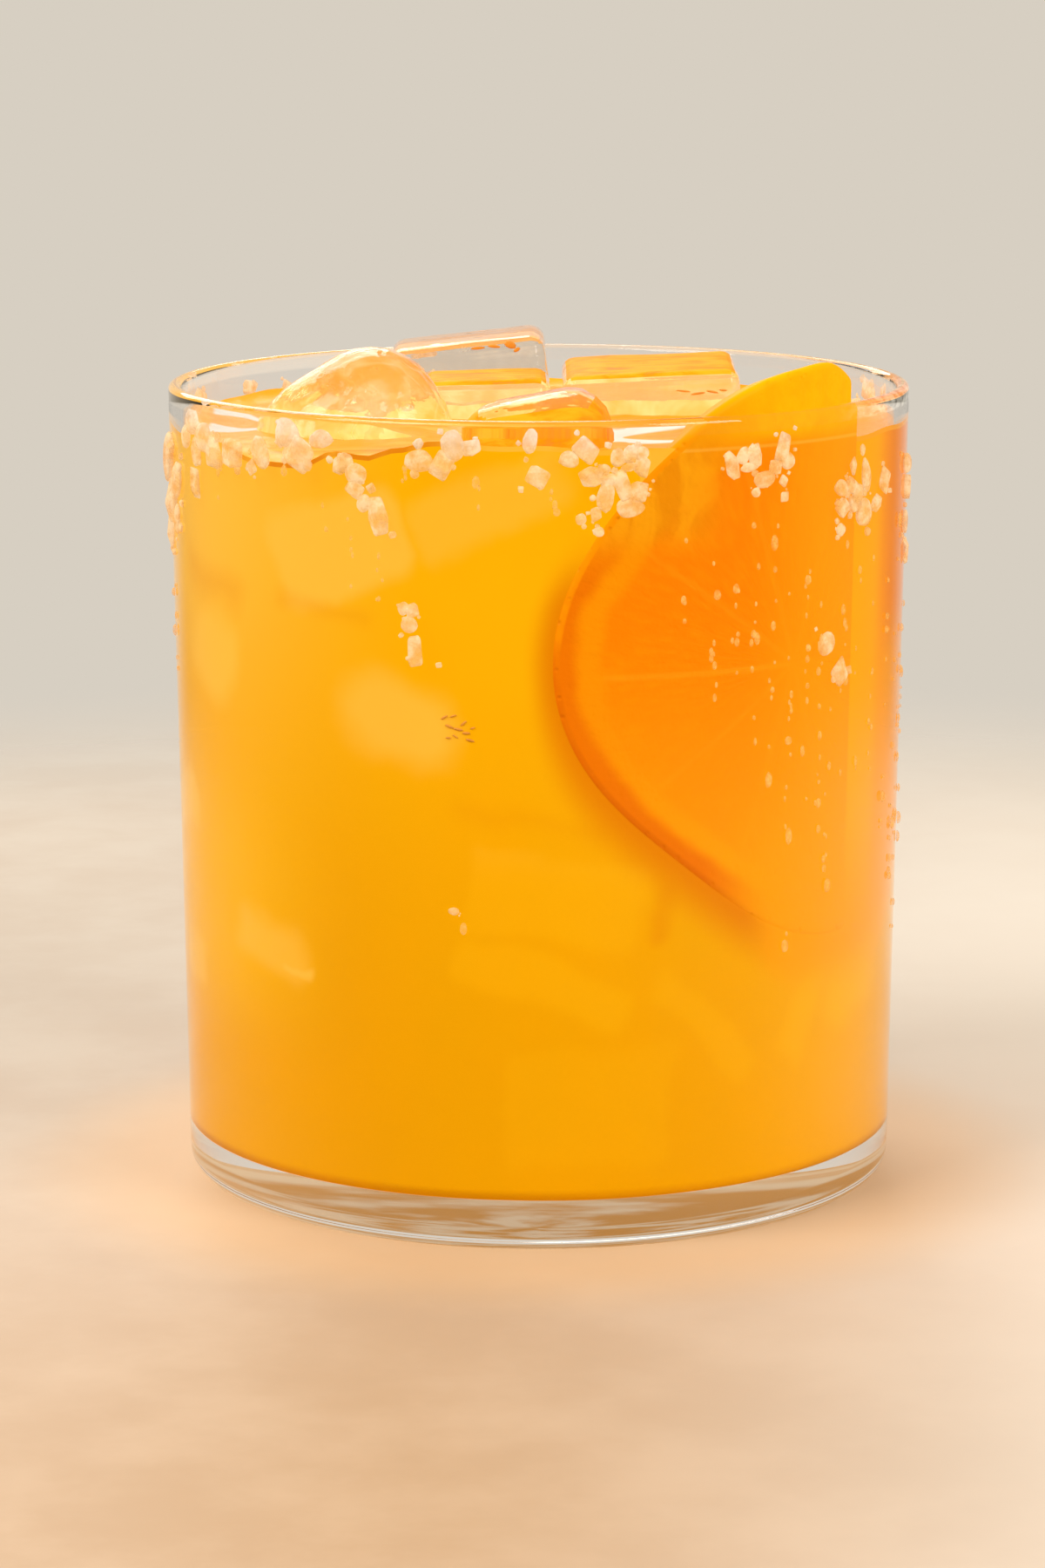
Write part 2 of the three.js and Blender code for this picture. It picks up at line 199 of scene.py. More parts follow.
# Single crystals on the front: azimuth, height, width and length in millimetres, tilt in degrees
FRONT_CRYSTALS = [
    (-79.5, 87.2, 3.4, 5.6, 4), (-77.0, 82.0, 3.0, 5.2, -6), (-73.4, 85.0, 2.6, 4.6, 8),
    (-81, 78.4, 2.0, 4.4, 0), (-74.5, 80.2, 1.8, 4.0, 10), (-64.6, 92.4, 2.8, 2.6, 20),
    (-60.4, 91.2, 3.4, 3.6, -24), (-57.6, 89.6, 2.4, 3.4, -30), (-63.4, 89.0, 2.0, 3.4, 0),
    (-64.4, 85.6, 1.8, 3.6, -4), (-67.6, 90.6, 2.2, 2.8, 0), (-52.1, 89.9, 3.0, 3.4, 12),
    (-45.4, 90.4, 2.8, 4.2, -28), (-47.6, 88.6, 1.6, 1.8, 0), (-39.4, 92.9, 3.6, 3.4, 0),
    (-37.6, 90.8, 3.4, 3.4, 30), (-33.4, 92.6, 3.3, 1.9, -8), (-29.8, 90.1, 2.5, 1.9, -30),
    (-27.6, 89.0, 2.8, 2.4, 20), (-27.8, 87.3, 2.1, 2.0, 40), (-26.4, 85.8, 1.7, 2.2, 20),
    (-24.0, 84.4, 2.2, 4.0, -8), (-17.6, 90.7, 3.6, 2.4, 4), (-14.2, 90.3, 2.5, 2.4, 30),
    (-12.5, 92.7, 2.6, 3.2, 4), (-9.8, 92.5, 1.9, 1.8, 0), (-1.4, 93.2, 1.7, 2.9, 10),
    (-0.4, 89.2, 2.6, 2.3, 24), (4.2, 91.2, 2.2, 2.0, 30), (6.6, 92.2, 3.2, 2.5, 40),
    (11.3, 91.2, 1.8, 2.1, 0), (13.0, 91.6, 1.4, 1.8, 14), (14.7, 91.7, 1.7, 1.5, 0),
    (14.9, 90.2, 1.5, 2.4, 10), (13.0, 90.2, 2.0, 1.0, -12), (7.5, 89.2, 2.4, 2.0, 0),
    (9.3, 90.0, 1.4, 1.3, 20), (11.9, 88.2, 2.0, 3.3, -22), (9.5, 86.9, 2.0, 3.4, 6),
    (14.3, 87.4, 1.9, 2.2, 14), (12.9, 85.7, 3.1, 2.0, 8), (9.9, 88.8, 1.6, 1.5, 0),
    (5.9, 84.5, 1.3, 1.3, 20), (8.1, 85.1, 1.0, 1.6, 0), (8.5, 83.1, 1.4, 1.2, 30),
    (29.0, 89.8, 1.5, 3.1, -20), (31.0, 90.9, 1.6, 1.9, 20), (32.9, 90.8, 1.7, 2.0, -10),
    (32.1, 89.5, 2.8, 1.1, -14), (38.2, 91.2, 1.8, 3.3, 14), (39.0, 89.8, 2.0, 2.0, 40),
    (36.8, 89.2, 1.5, 1.7, 0), (34.7, 88.0, 3.0, 2.1, 0), (38.4, 87.6, 1.1, 1.4, 0),
    (33.4, 86.5, 1.2, 1.0, 0), (38.7, 85.8, 1.1, 1.1, 0), (51.2, 85.9, 2.2, 1.9, 10),
    (53.8, 85.9, 1.8, 2.0, 0), (55.7, 84.8, 2.2, 2.6, 30), (51.6, 83.6, 2.2, 2.0, 0),
    (57.4, 82.6, 3.2, 3.6, 0), (54.6, 83.8, 1.8, 2.2, -20), (51.3, 81.1, 1.6, 1.5, 30),
    (62.0, 83.2, 2.0, 1.5, -20), (58.2, 86.8, 1.8, 3.8, -10), (54.4, 88.2, 1.1, 1.9, 0),
    (57.0, 89.8, 1.0, 1.4, 0), (65.0, 85.6, 2.0, 3.2, 16), (78.5, 86.4, 2.6, 2.6, 0),
    (80.5, 83.4, 2.2, 3.0, 10), (79, 79.6, 1.8, 2.8, 0), (81, 75.8, 1.6, 2.4, 0),
    (48.2, 68.3, 2.5, 2.7, 20), (51.9, 64.5, 2.3, 3.2, -24), (-20.2, 74.2, 1.4, 1.5, 0),
    (-18.9, 74.0, 1.5, 1.6, 20), (-19.3, 72.4, 2.1, 2.0, 0), (-18.5, 69.5, 1.8, 4.0, -2),
    (-13.0, 40.0, 1.2, 0.9, 0),
]
SALT_SEED = 20260
SALT_SMALLEST_SHARE = 0.45
SALT_SUNK_SHARE = 0.3
SALT_BELOW_RIM = 1.2 * MM
FRONT_ENDS_AT = 86           # the frame's clusters further round than this are kept as they are
GRAIN_KINDS = 8
SMALL_GRAIN = (1, 0.7, 1.1)  # the stretch of the small crystals beside each large one
CRYSTAL_SPREAD = 1.14        # tumbled crystals are made this much larger, so that they cover their places

# Beads of water that ran down the outside: azimuth, highest and lowest in millimetres, and number
BEAD_TRAILS = [
    (22, 86, 70, 4), (26.5, 80, 60, 9), (30, 84, 66, 8), (33.5, 84, 58, 10), (37, 84, 52, 12),
    (40.5, 80, 46, 14), (44, 82, 50, 13), (47, 78, 44, 14), (49.5, 62, 38, 9), (53, 80, 52, 9),
    (57, 76, 50, 6), (62, 80, 48, 9), (68, 84, 44, 10), (74, 88, 36, 14), (79, 84, 30, 16),
    (84, 88, 40, 12), (-29, 84, 76, 5), (-24, 80, 74, 5), (-33, 88, 82, 3), (-20, 90, 86, 4),
    (2, 88, 84, 4), (-9, 89, 85, 3), (41, 36, 33, 2), (-12, 41, 38, 1), (-48, 92, 88, 5),
    (-41, 90, 88, 3), (-56, 90, 84, 4), (-80, 84, 58, 8), (-110, 86, 60, 8), (-150, 84, 56, 8),
    (170, 86, 62, 7), (130, 84, 54, 9), (104, 86, 50, 10),
]
BEAD_SEED = 77
BEAD_KINDS = 3

# Scraps of orange peel and pulp on the wall: azimuth, height, length and width in millimetres, and tilt
FLECKS = [
    (-14.6, 61.9, 0.9, 0.25, -30), (-13.8, 60.9, 1.0, 0.3, 20), (-13.2, 62.1, 0.8, 0.2, -20),
    (-12.4, 60.6, 1.1, 0.3, 10), (-11.6, 61.3, 0.9, 0.25, -40), (-11.2, 60.2, 0.9, 0.3, 0),
    (-10.6, 59.4, 1.0, 0.3, 14), (-12.9, 59.8, 0.7, 0.2, 30), (-10.2, 60.8, 0.6, 0.2, -20),
    (-14.0, 59.6, 0.6, 0.2, 0),
]
FLECK_THICKNESS = 0.12 * MM
FLECK_PROUD = 1.2 * DRINK_REACH  # how far the middle of a fleck on the wall lies inside the glass
ICE_FLECKS = [               # the same on the ice, with X, Y and Z for the place
    (-3.4, 18.8, 97.6, 1.5, 0.9, 20), (-2.6, 18.8, 97.0, 0.9, 0.5, -30),
    (-5.4, 18.8, 97.4, 1.6, 0.4, 5), (-7.4, 18.8, 97.2, 1.8, 0.4, -5), (17.4, 4.9, 93.4, 1.8, 0.25, 6),
    (19.2, 4.9, 93.1, 1.8, 0.3, -8), (20.9, 4.9, 93.3, 1.5, 0.3, 10), (22.2, 4.9, 93.5, 1.0, 0.25, 4),
]

# Camera, from the glass's rim, foot and sides in the photograph
CAMERA_PLACE = (-1.857 * MM, -547.44 * MM, 153.42 * MM)
CAMERA_DIP = 0.1933
CAMERA_ROLL = 0.0009
CAMERA_LENS = 105.8
CAMERA_SENSOR = 36

# Studio: the floor, then each softbox's name, place, size, power and tint
FLOOR_RADIUS = 360 * MM
FLOOR_DROP = 0.05 * MM
LAMP_TARGET = (0, 0, 50 * MM)
SOFTBOXES = [
    ("soft_left", (-0.55, -0.35, 0.65), 0.5, 6.0, (1.0, 0.97, 0.92)),
    ("soft_right", (0.6, -0.5, 0.45), 0.4, 4.4, (1.0, 0.96, 0.9)),
    ("soft_back", (-0.2, 0.6, 0.5), 0.5, 2.5, (1.0, 0.98, 0.95)),
]


def share_of_height(height):
    return min(max(height / GLASS_HEIGHT, 0.0), 1.0)


def outer_radius(height):
    return FOOT_RADIUS + (RIM_RADIUS - FOOT_RADIUS) * share_of_height(height)


def inner_radius(height):
    wall = WALL_AT_FOOT + (WALL_AT_RIM - WALL_AT_FOOT) * share_of_height(height)
    return outer_radius(height) - wall


def on_wall(azimuth, radius, height):
    """The point at this azimuth (radians), distance from the middle and height."""
    return Vector((radius * math.sin(azimuth), -radius * math.cos(azimuth), height))


def azimuth_of(point):
    return math.degrees(math.atan2(point.x, -point.y))


def turned(angle, axis):
    """A turn about this axis, in degrees."""
    return Matrix.Rotation(math.radians(angle), 4, axis)


def bump(value, middle, width):
    """A smooth hump of height 1 round the middle."""
    return math.exp(-(((value - middle) / width) ** 2))


def make_draw(seed):
    """Numbers between 0 and 1 that are the same on every run."""
    state = [seed]

    def draw():
        state[0] = (state[0] * 1664525 + 1013904223) & 0xFFFFFFFF
        return state[0] / 4294967296

    return draw


# Modelling helpers

def let_go():
    """Leaves edit mode with nothing selected."""
    if bpy.context.object and bpy.context.object.mode != "OBJECT":
        bpy.ops.object.mode_set(mode="OBJECT")
    bpy.ops.object.select_all(action="DESELECT")


def use(piece):
    """Selects this piece alone and makes it the active one."""
    let_go()
    piece.select_set(True)
    bpy.context.view_layer.objects.active = piece


def edit(piece):
    """Goes into edit mode with all of the piece selected."""
    use(piece)
    bpy.ops.object.mode_set(mode="EDIT")
    pick_all()


def set_place(piece):
    """Puts the piece's place, turn and scale into its mesh."""
    use(piece)
    bpy.ops.object.transform_apply(location=True, rotation=True, scale=True)


def add_primitive(operator, scale=(1, 1, 1), **settings):
    """A new primitive at its size and place, with both in its mesh."""
    let_go()
    operator(**settings)
    piece = bpy.context.object
    piece.scale = scale
    set_place(piece)
    return piece


def add_cylinder(radius, low, high):
    """An upright cylinder on the glass's axis, between two heights."""
    return add_primitive(
        bpy.ops.mesh.primitive_cylinder_add, vertices=GLASS_SIDES, radius=radius, depth=high - low,
        location=(0, 0, (high + low) / 2),
    )


def pick(piece, kind, wanted):
    """Selects, in edit mode, only the vertices, edges or faces that are wanted."""
    bpy.context.tool_settings.mesh_select_mode = (kind == "verts", kind == "edges", kind == "faces")
    shape = bmesh.from_edit_mesh(piece.data)
    for things in (shape.faces, shape.edges, shape.verts):
        for thing in things:
            thing.select = False
    for thing in getattr(shape, kind):
        if wanted(thing):
            thing.select_set(True)
    shape.select_flush_mode()
    bmesh.update_edit_mesh(piece.data)


def pick_all():
    bpy.ops.mesh.select_all(action="SELECT")


def inset(*widths):
    """Insets what is selected by each width in turn."""
    for width in widths:
        bpy.ops.mesh.inset(thickness=width)


def resize(x, y, z):
    """Scales what is selected about the origin."""
    bpy.ops.transform.resize(value=(x, y, z), center_override=(0, 0, 0))


def widen(factor):
    """Scales what is selected about the glass's axis."""
    resize(factor, factor, 1)


def round_edges(rounding, steps=ROUND_STEPS):
    bpy.ops.mesh.bevel(offset=rounding, segments=steps, profile=0.5, affect="EDGES")


def is_ring(edge, radius, height, slack=0.05 * MM):
    """True for an edge that runs round the axis at this radius and height."""
    ends = [vertex.co for vertex in edge.verts]
    level = all(abs(end.z - height) < slack for end in ends)
    return level and all(abs(end.xy.length - radius) < slack for end in ends)


def is_cap(face, side):
    """True for the flat round end of a turned shape: the upper one for side 1, the lower one for -1."""
    return len(face.verts) == GLASS_SIDES and face.normal.z * side > 0


def apply_all(piece):
    use(piece)
    for modifier in list(piece.modifiers):
        bpy.ops.object.modifier_apply(modifier=modifier.name)


def cut_with(piece, tool):
    """Takes the tool's shape out of the piece and removes the tool."""
    modifier = piece.modifiers.new("cut", "BOOLEAN")
    modifier.operation = "DIFFERENCE"
    modifier.solver = "EXACT"
    modifier.object = tool
    apply_all(piece)
    bpy.data.objects.remove(tool)


def roughen(piece, texture, strength):
    """Moves the surface in and out by the texture."""
    modifier = piece.modifiers.new("roughen", "DISPLACE")
    modifier.texture = texture
    modifier.texture_coords = "GLOBAL"
    modifier.strength = strength
    modifier.mid_level = 0.5
    apply_all(piece)


def shade(piece, angle):
    use(piece)
    bpy.ops.object.shade_smooth_by_angle(angle=math.radians(angle))


def finish_piece(piece, name, finishes, slot, *nodes):
    """Names the piece, gives it its finishes, and makes it stand for its nodes."""
    piece.name = name
    piece.data.name = name
    piece.data.materials.clear()
    for finish in finishes:
        piece.data.materials.append(finish)
    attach(piece, "root")
    for node in nodes:
        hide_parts(node)


# Material helpers

BLACK = (0, 0, 0)
# Small pale things give off a painted glow, standing in for light through them
OWN_LIGHT = 0.3  # how much of a small pale thing's light is its own


def colour(red, green, blue):
    """A display colour (0 to 255) as the linear one that nodes take."""
    def linear(value):
        value /= 255
        return value / 12.92 if value <= 0.04045 else ((value + 0.055) / 1.055) ** 2.4
    return (linear(red), linear(green), linear(blue), 1.0)


class Recipe:
    """A node tree with short calls that add nodes and return their output."""

    def __init__(self, tree):
        self.tree = tree

    def add(self, kind, **settings):
        node = self.tree.nodes.new(kind)
        for name, value in settings.items():
            setattr(node, name, value)
        return node

    def put(self, socket, value):
        if isinstance(value, bpy.types.NodeSocket):
            self.tree.links.new(value, socket)
        else:
            socket.default_value = value

    def fill(self, node, **values):
        """Sets the node's inputs by their names, with _ for a space."""
        for name, value in values.items():
            self.put(node.inputs[name.replace("_", " ")], value)

    def math(self, operation, first, second=0.0, clamp=False):
        node = self.add("ShaderNodeMath", operation=operation, use_clamp=clamp)
        self.put(node.inputs[0], first)
        self.put(node.inputs[1], second)
        return node.outputs[0]

    def plus(self, first, second):
        return self.math("ADD", first, second)

    def minus(self, first, second):
        return self.math("SUBTRACT", first, second)

    def times(self, first, *others):
        for other in others:
            first = self.math("MULTIPLY", first, other)
        return first

    def larger(self, first, second):
        return self.math("MAXIMUM", first, second)

    def apart(self, first, second):
        """How far apart two values are."""
        return self.math("ABSOLUTE", self.minus(first, second))

    def vector(self, operation, first, second=(0, 0, 0), scale=None):
        node = self.add("ShaderNodeVectorMath", operation=operation)
        self.put(node.inputs[0], first)
        self.put(node.inputs[1], second)
        if scale is not None:
            self.put(node.inputs["Scale"], scale)
        return node.outputs["Value" if operation == "LENGTH" else "Vector"]

    def stretch(self, place, x, y, z):
        return self.vector("MULTIPLY", place, (x, y, z))

    def parts(self, vector):
        node = self.add("ShaderNodeSeparateXYZ")
        self.put(node.inputs[0], vector)
        return node.outputs

    def join(self, x, y, z=0.0):
        node = self.add("ShaderNodeCombineXYZ")
        for socket, value in zip(node.inputs, (x, y, z)):
            self.put(socket, value)
        return node.outputs[0]

    def azimuth(self, place):
        """The angle round the glass's axis, from the front."""
        x, y, _ = self.parts(place)
        return self.math("ARCTAN2", x, self.times(y, -1.0))

    def ease(self, value, start, end, low=0.0, high=1.0):
        """Goes smoothly from low to high as the value goes from start to end."""
        node = self.add("ShaderNodeMapRange", interpolation_type="SMOOTHSTEP", clamp=True)
        self.fill(node, Value=value, From_Min=start, From_Max=end, To_Min=low, To_Max=high)
        return node.outputs["Result"]

    def mix(self, share, first, second):
        """From the first colour to the second; three numbers are a display colour."""
        node = self.add("ShaderNodeMix", data_type="RGBA", clamp_factor=True)
        self.put(node.inputs["Factor"], share)
        for socket, tone in ((node.inputs[6], first), (node.inputs[7], second)):
            is_display = isinstance(tone, tuple) and len(tone) == 3
            self.put(socket, colour(*tone) if is_display else tone)
        return node.outputs[2]

    def fade(self, value, start, end, first, second):
        """Goes smoothly from the first colour to the second as the value goes from start to end."""
        return self.mix(self.ease(value, start, end), first, second)

    def noise(self, place, size, detail=2.0, rough=0.5, warp=0.0, output="Fac"):
        """Fractal noise, 0 to 1, whose lumps are about this size in metres."""
        is_socket = isinstance(size, bpy.types.NodeSocket)
        scale = self.math("DIVIDE", 1.0, size) if is_socket else 1.0 / size
        node = self.add("ShaderNodeTexNoise")
        self.fill(node, Vector=place, Scale=scale, Detail=detail, Roughness=rough, Distortion=warp)
        return node.outputs[output]

    def cells(self, place, size):
        """How far each point is from the middle of its cell, for cells of this size."""
        node = self.add("ShaderNodeTexVoronoi")
        self.fill(node, Vector=place, Scale=1.0 / size)
        return node.outputs["Distance"]

    def bump(self, height, depth):
        node = self.add("ShaderNodeBump")
        self.fill(node, Height=height, Distance=depth)
        return node.outputs["Normal"]

    def group(self, name, **values):
        node = self.add("ShaderNodeGroup", node_tree=bpy.data.node_groups[name])
        self.fill(node, **values)
        return node.outputs


def open_material(finish):
    """A material's recipe, its shader, and the place on the piece."""
    recipe = Recipe(finish.node_tree)
    place = recipe.add("ShaderNodeTexCoord").outputs["Object"]
    return recipe, finish.node_tree.nodes["Principled BSDF"], place


def new_material(name):
    finish = bpy.data.materials.new(name)
    finish.use_nodes = True
    return finish, *open_material(finish)


def show_through(recipe, shader, share, tint=(1, 1, 1, 1)):
    """Lets what lies behind show through, by this share and with this tint."""
    clear = recipe.add("ShaderNodeBsdfTransparent")
    recipe.fill(clear, Color=tint)
    both = recipe.add("ShaderNodeMixShader")
    for socket, value in zip(both.inputs, (share, shader.outputs[0], clear.outputs[0])):
        recipe.put(socket, value)
    recipe.put(recipe.tree.nodes["Material Output"].inputs["Surface"], both.outputs[0])


def let_light_through(recipe, shader, tint):
    """Clear pieces cast no dark shadow: lamps and soft light pass straight through them."""
    path = recipe.add("ShaderNodeLightPath")
    passing = recipe.larger(path.outputs["Is Shadow Ray"], path.outputs["Is Diffuse Ray"])
    show_through(recipe, shader, passing, tint)


def new_group(name, vectors, numbers, outputs):
    """A node group: vector inputs, number inputs with their usual values, and number outputs."""
    tree = bpy.data.node_groups.new(name, "ShaderNodeTree")
    for title in vectors:
        tree.interface.new_socket(title, in_out="INPUT", socket_type="NodeSocketVector")
    for title, value in numbers.items():
        socket = tree.interface.new_socket(title, in_out="INPUT", socket_type="NodeSocketFloat")
        socket.default_value = value
    for title in outputs:
        tree.interface.new_socket(title, in_out="OUTPUT", socket_type="NodeSocketFloat")
    recipe = Recipe(tree)
    return recipe, recipe.add("NodeGroupInput").outputs, recipe.add("NodeGroupOutput").inputs


def make_sunk_cube_group():
    """A soft-edged block that shows dimly through the drink, on the unrolled wall."""
    recipe, given, made = new_group(
        "SunkCube", ["Wall Place", "Middle", "Half Size"], {"Turn": 0.0, "Round": 2.0, "Blur": 1.0}, ["Mask"]
    )
    offset = recipe.vector("SUBTRACT", given["Wall Place"], given["Middle"])
    turned_back = recipe.add("ShaderNodeVectorRotate", rotation_type="Z_AXIS")
    recipe.fill(turned_back, Vector=offset, Angle=given["Turn"])
    past = recipe.vector("SUBTRACT", recipe.vector("ABSOLUTE", turned_back.outputs[0]), given["Half Size"])
    x, y = (recipe.plus(side, given["Round"]) for side in recipe.parts(past)[:2])
    outside = recipe.vector("LENGTH", recipe.join(recipe.larger(x, 0.0), recipe.larger(y, 0.0)))
    inside = recipe.math("MINIMUM", recipe.larger(x, y), 0.0)
    distance = recipe.minus(recipe.plus(outside, inside), given["Round"])
    recipe.put(made["Mask"], recipe.ease(recipe.math("DIVIDE", distance, given["Blur"]), 1.0, -1.0))


def make_wheel_map_group():
    """Where a point lies on the orange wheel: its turn, and how far out as a share of the wheel's edge."""
    recipe, given, made = new_group("WheelMap", ["Place"], {}, ["Reach", "Turn"])
    from_middle = recipe.minus(recipe.azimuth(given["Place"]), WHEEL_AZIMUTH)
    along = recipe.times(from_middle, inner_radius(WHEEL_HEIGHT))
    up = recipe.minus(recipe.parts(given["Place"])[2], WHEEL_HEIGHT)
    turn = recipe.math("ARCTAN2", recipe.times(along, -1.0), up)
    factor = 1.0
    for count, depth, crest in WHEEL_WAVES:
        phase = recipe.minus(recipe.times(turn, count), count * crest)
        factor = recipe.plus(recipe.times(recipe.math("COSINE", phase), depth), factor)
    out = recipe.vector("LENGTH", recipe.join(along, up))
    recipe.put(made["Reach"], recipe.math("DIVIDE", out, recipe.times(factor, WHEEL_RADIUS)))
    recipe.put(made["Turn"], turn)


def make_melted_surface_group():
    """Smooth waves and fine pits of melting ice or a wet surface, as one height."""
    recipe, given, made = new_group(
        "WetSurface", ["Place"], {"Wave Size": 6 * MM, "Pit Size": 1.2 * MM, "Pit Share": 0.2}, ["Height"]
    )
    waves = recipe.noise(given["Place"], given["Wave Size"])
    pits = recipe.noise(given["Place"], given["Pit Size"])
    recipe.put(made["Height"], recipe.plus(waves, recipe.times(pits, given["Pit Share"])))


# Finishes

def clear_glass(name, shine):
    """Clear glass; shine is the tint of what it mirrors."""
    finish, recipe, shader, place = new_material(name)
    smudges = recipe.noise(place, 14 * MM, 3.0)
    recipe.fill(
        shader, Base_Color=(1, 1, 1, 1), Transmission_Weight=1.0, IOR=GLASS_IOR, Specular_Tint=(*shine, 1),
        Roughness=recipe.ease(smudges, 0.5, 0.8, 0.0, 0.04),
    )
    let_light_through(recipe, shader, (0.98, 0.97, 0.95, 1))
    return finish


def bright_rim():
    """The rim's glass, which mirrors more, and gives off painted light: pale painted reflection streaks at
    the right end and a soft painted glow at the left one.
    """
    finish = clear_glass("bright_rim", (0.7, 0.67, 0.62))
    recipe, shader, place = open_material(finish)
    turn = recipe.azimuth(place)
    streaks = recipe.ease(recipe.noise(recipe.stretch(place, 1.0, 1.0, 2.5), 1.6 * MM, 3.0), 0.35, 0.65)
    # Painted reflection at the right end and painted soft light at the left, both given off as light
    painted_reflection_right = recipe.times(recipe.ease(turn, 0.85, 1.15), recipe.ease(turn, 1.75, 1.45), streaks)
    painted_glow_left = recipe.fade(turn, -1.1, -1.3, BLACK, (104, 94, 78))
    recipe.fill(shader, Emission_Color=recipe.mix(painted_reflection_right, painted_glow_left, (186, 180, 164)), Emission_Strength=0.4)
    return finish


def wet_ice(name, wave_size, wave_depth, frost_and_glint_share, amber_share=0.0, tint=(1.0, 0.97, 0.9, 1)):
    """Clear ice with melted waves, a cloudy patch inside where the frost share is above 0, and painted
    glints: pale lines given off as light that stand in for highlights, stronger with the frost share.
    """
    finish, recipe, shader, place = new_material(name)
    amber = recipe.ease(recipe.noise(place, 5 * MM, 2.0, 0.5, 0.4), 0.4, 0.6, 0.0, amber_share)
    cloud = recipe.noise(place, 5 * MM, 4.0, 0.6, 0.6)
    # Painted glints: thin pale lines of emitted light standing in for highlights
    off_line = recipe.apart(recipe.noise(place, 7 * MM, 2.0, 0.5, 0.8), 0.5)
    painted_glints = recipe.ease(off_line, 0.05, 0.0, 0.0, frost_and_glint_share)
    surface = recipe.group("WetSurface", Place=place, Wave_Size=wave_size, Pit_Share=0.08)
    recipe.fill(
        shader,
        Base_Color=recipe.mix(amber, tint, (255, 214, 130)),
        Transmission_Weight=0.92,
        IOR=ICE_IOR,
        Roughness=recipe.ease(cloud, 0.62 - 0.2 * frost_and_glint_share, 0.75, 0.01, 0.35),
        Emission_Color=recipe.mix(painted_glints, BLACK, (255, 238, 208)),
        Emission_Strength=0.1,
        Normal=recipe.bump(surface["Height"], wave_depth),
    )
    let_light_through(recipe, shader, ICE_SHADOW_TINT)
    return finish


def amber_ice_top():
    """The wet upper face of a cube, coloured by the drink beneath, with browner streaks."""
    finish, recipe, shader, place = new_material("amber_ice_top")
    streaks = recipe.noise(recipe.stretch(place, 0.4, 1.0, 1.0), 2.2 * MM, 4.0, 0.6, 0.8)
    tone = recipe.fade(streaks, 0.35, 0.65, (240, 148, 2), (251, 176, 30))
    tone = recipe.mix(recipe.ease(streaks, 0.42, 0.3, 0.0, 0.8), tone, (222, 138, 52))
    recipe.fill(
        shader, Base_Color=tone, Transmission_Weight=0.1, IOR=ICE_IOR, Roughness=0.4,
        Specular_IOR_Level=0.02, Normal=recipe.bump(streaks, 0.3 * MM),
    )
    let_light_through(recipe, shader, ICE_SHADOW_TINT)
    return finish

# The wall is unrolled at its radius halfway up the drink, in millimetres
UNROLL_RADIUS = outer_radius(DRINK_LEVEL / 2) / MM


def unrolled_wall(recipe, place, turn):
    """The wall laid flat, in millimetres, and a little wobbly."""
    flat = recipe.join(recipe.times(turn, UNROLL_RADIUS), recipe.times(recipe.parts(place)[2], 1 / MM))
    wobble = recipe.noise(place, 9 * MM, 3.0, output="Color")
    shift = recipe.vector("SCALE", recipe.vector("SUBTRACT", wobble, (0.5, 0.5, 0.5)), scale=5.0)
    return recipe.vector("ADD", flat, shift)


def soft_blocks(recipe, wall_place, blocks):
    """The mask of each block in the table, times how strongly it shows."""
    for azimuth, height, half_wide, half_high, tilt, rounding, blur, strength in blocks:
        block = recipe.group(
            "SunkCube", Wall_Place=wall_place, Middle=(math.radians(azimuth) * UNROLL_RADIUS, height, 0),
            Half_Size=(half_wide, half_high, 0), Turn=-math.radians(tilt), Round=rounding, Blur=blur,
        )
        yield recipe.times(block["Mask"], strength)


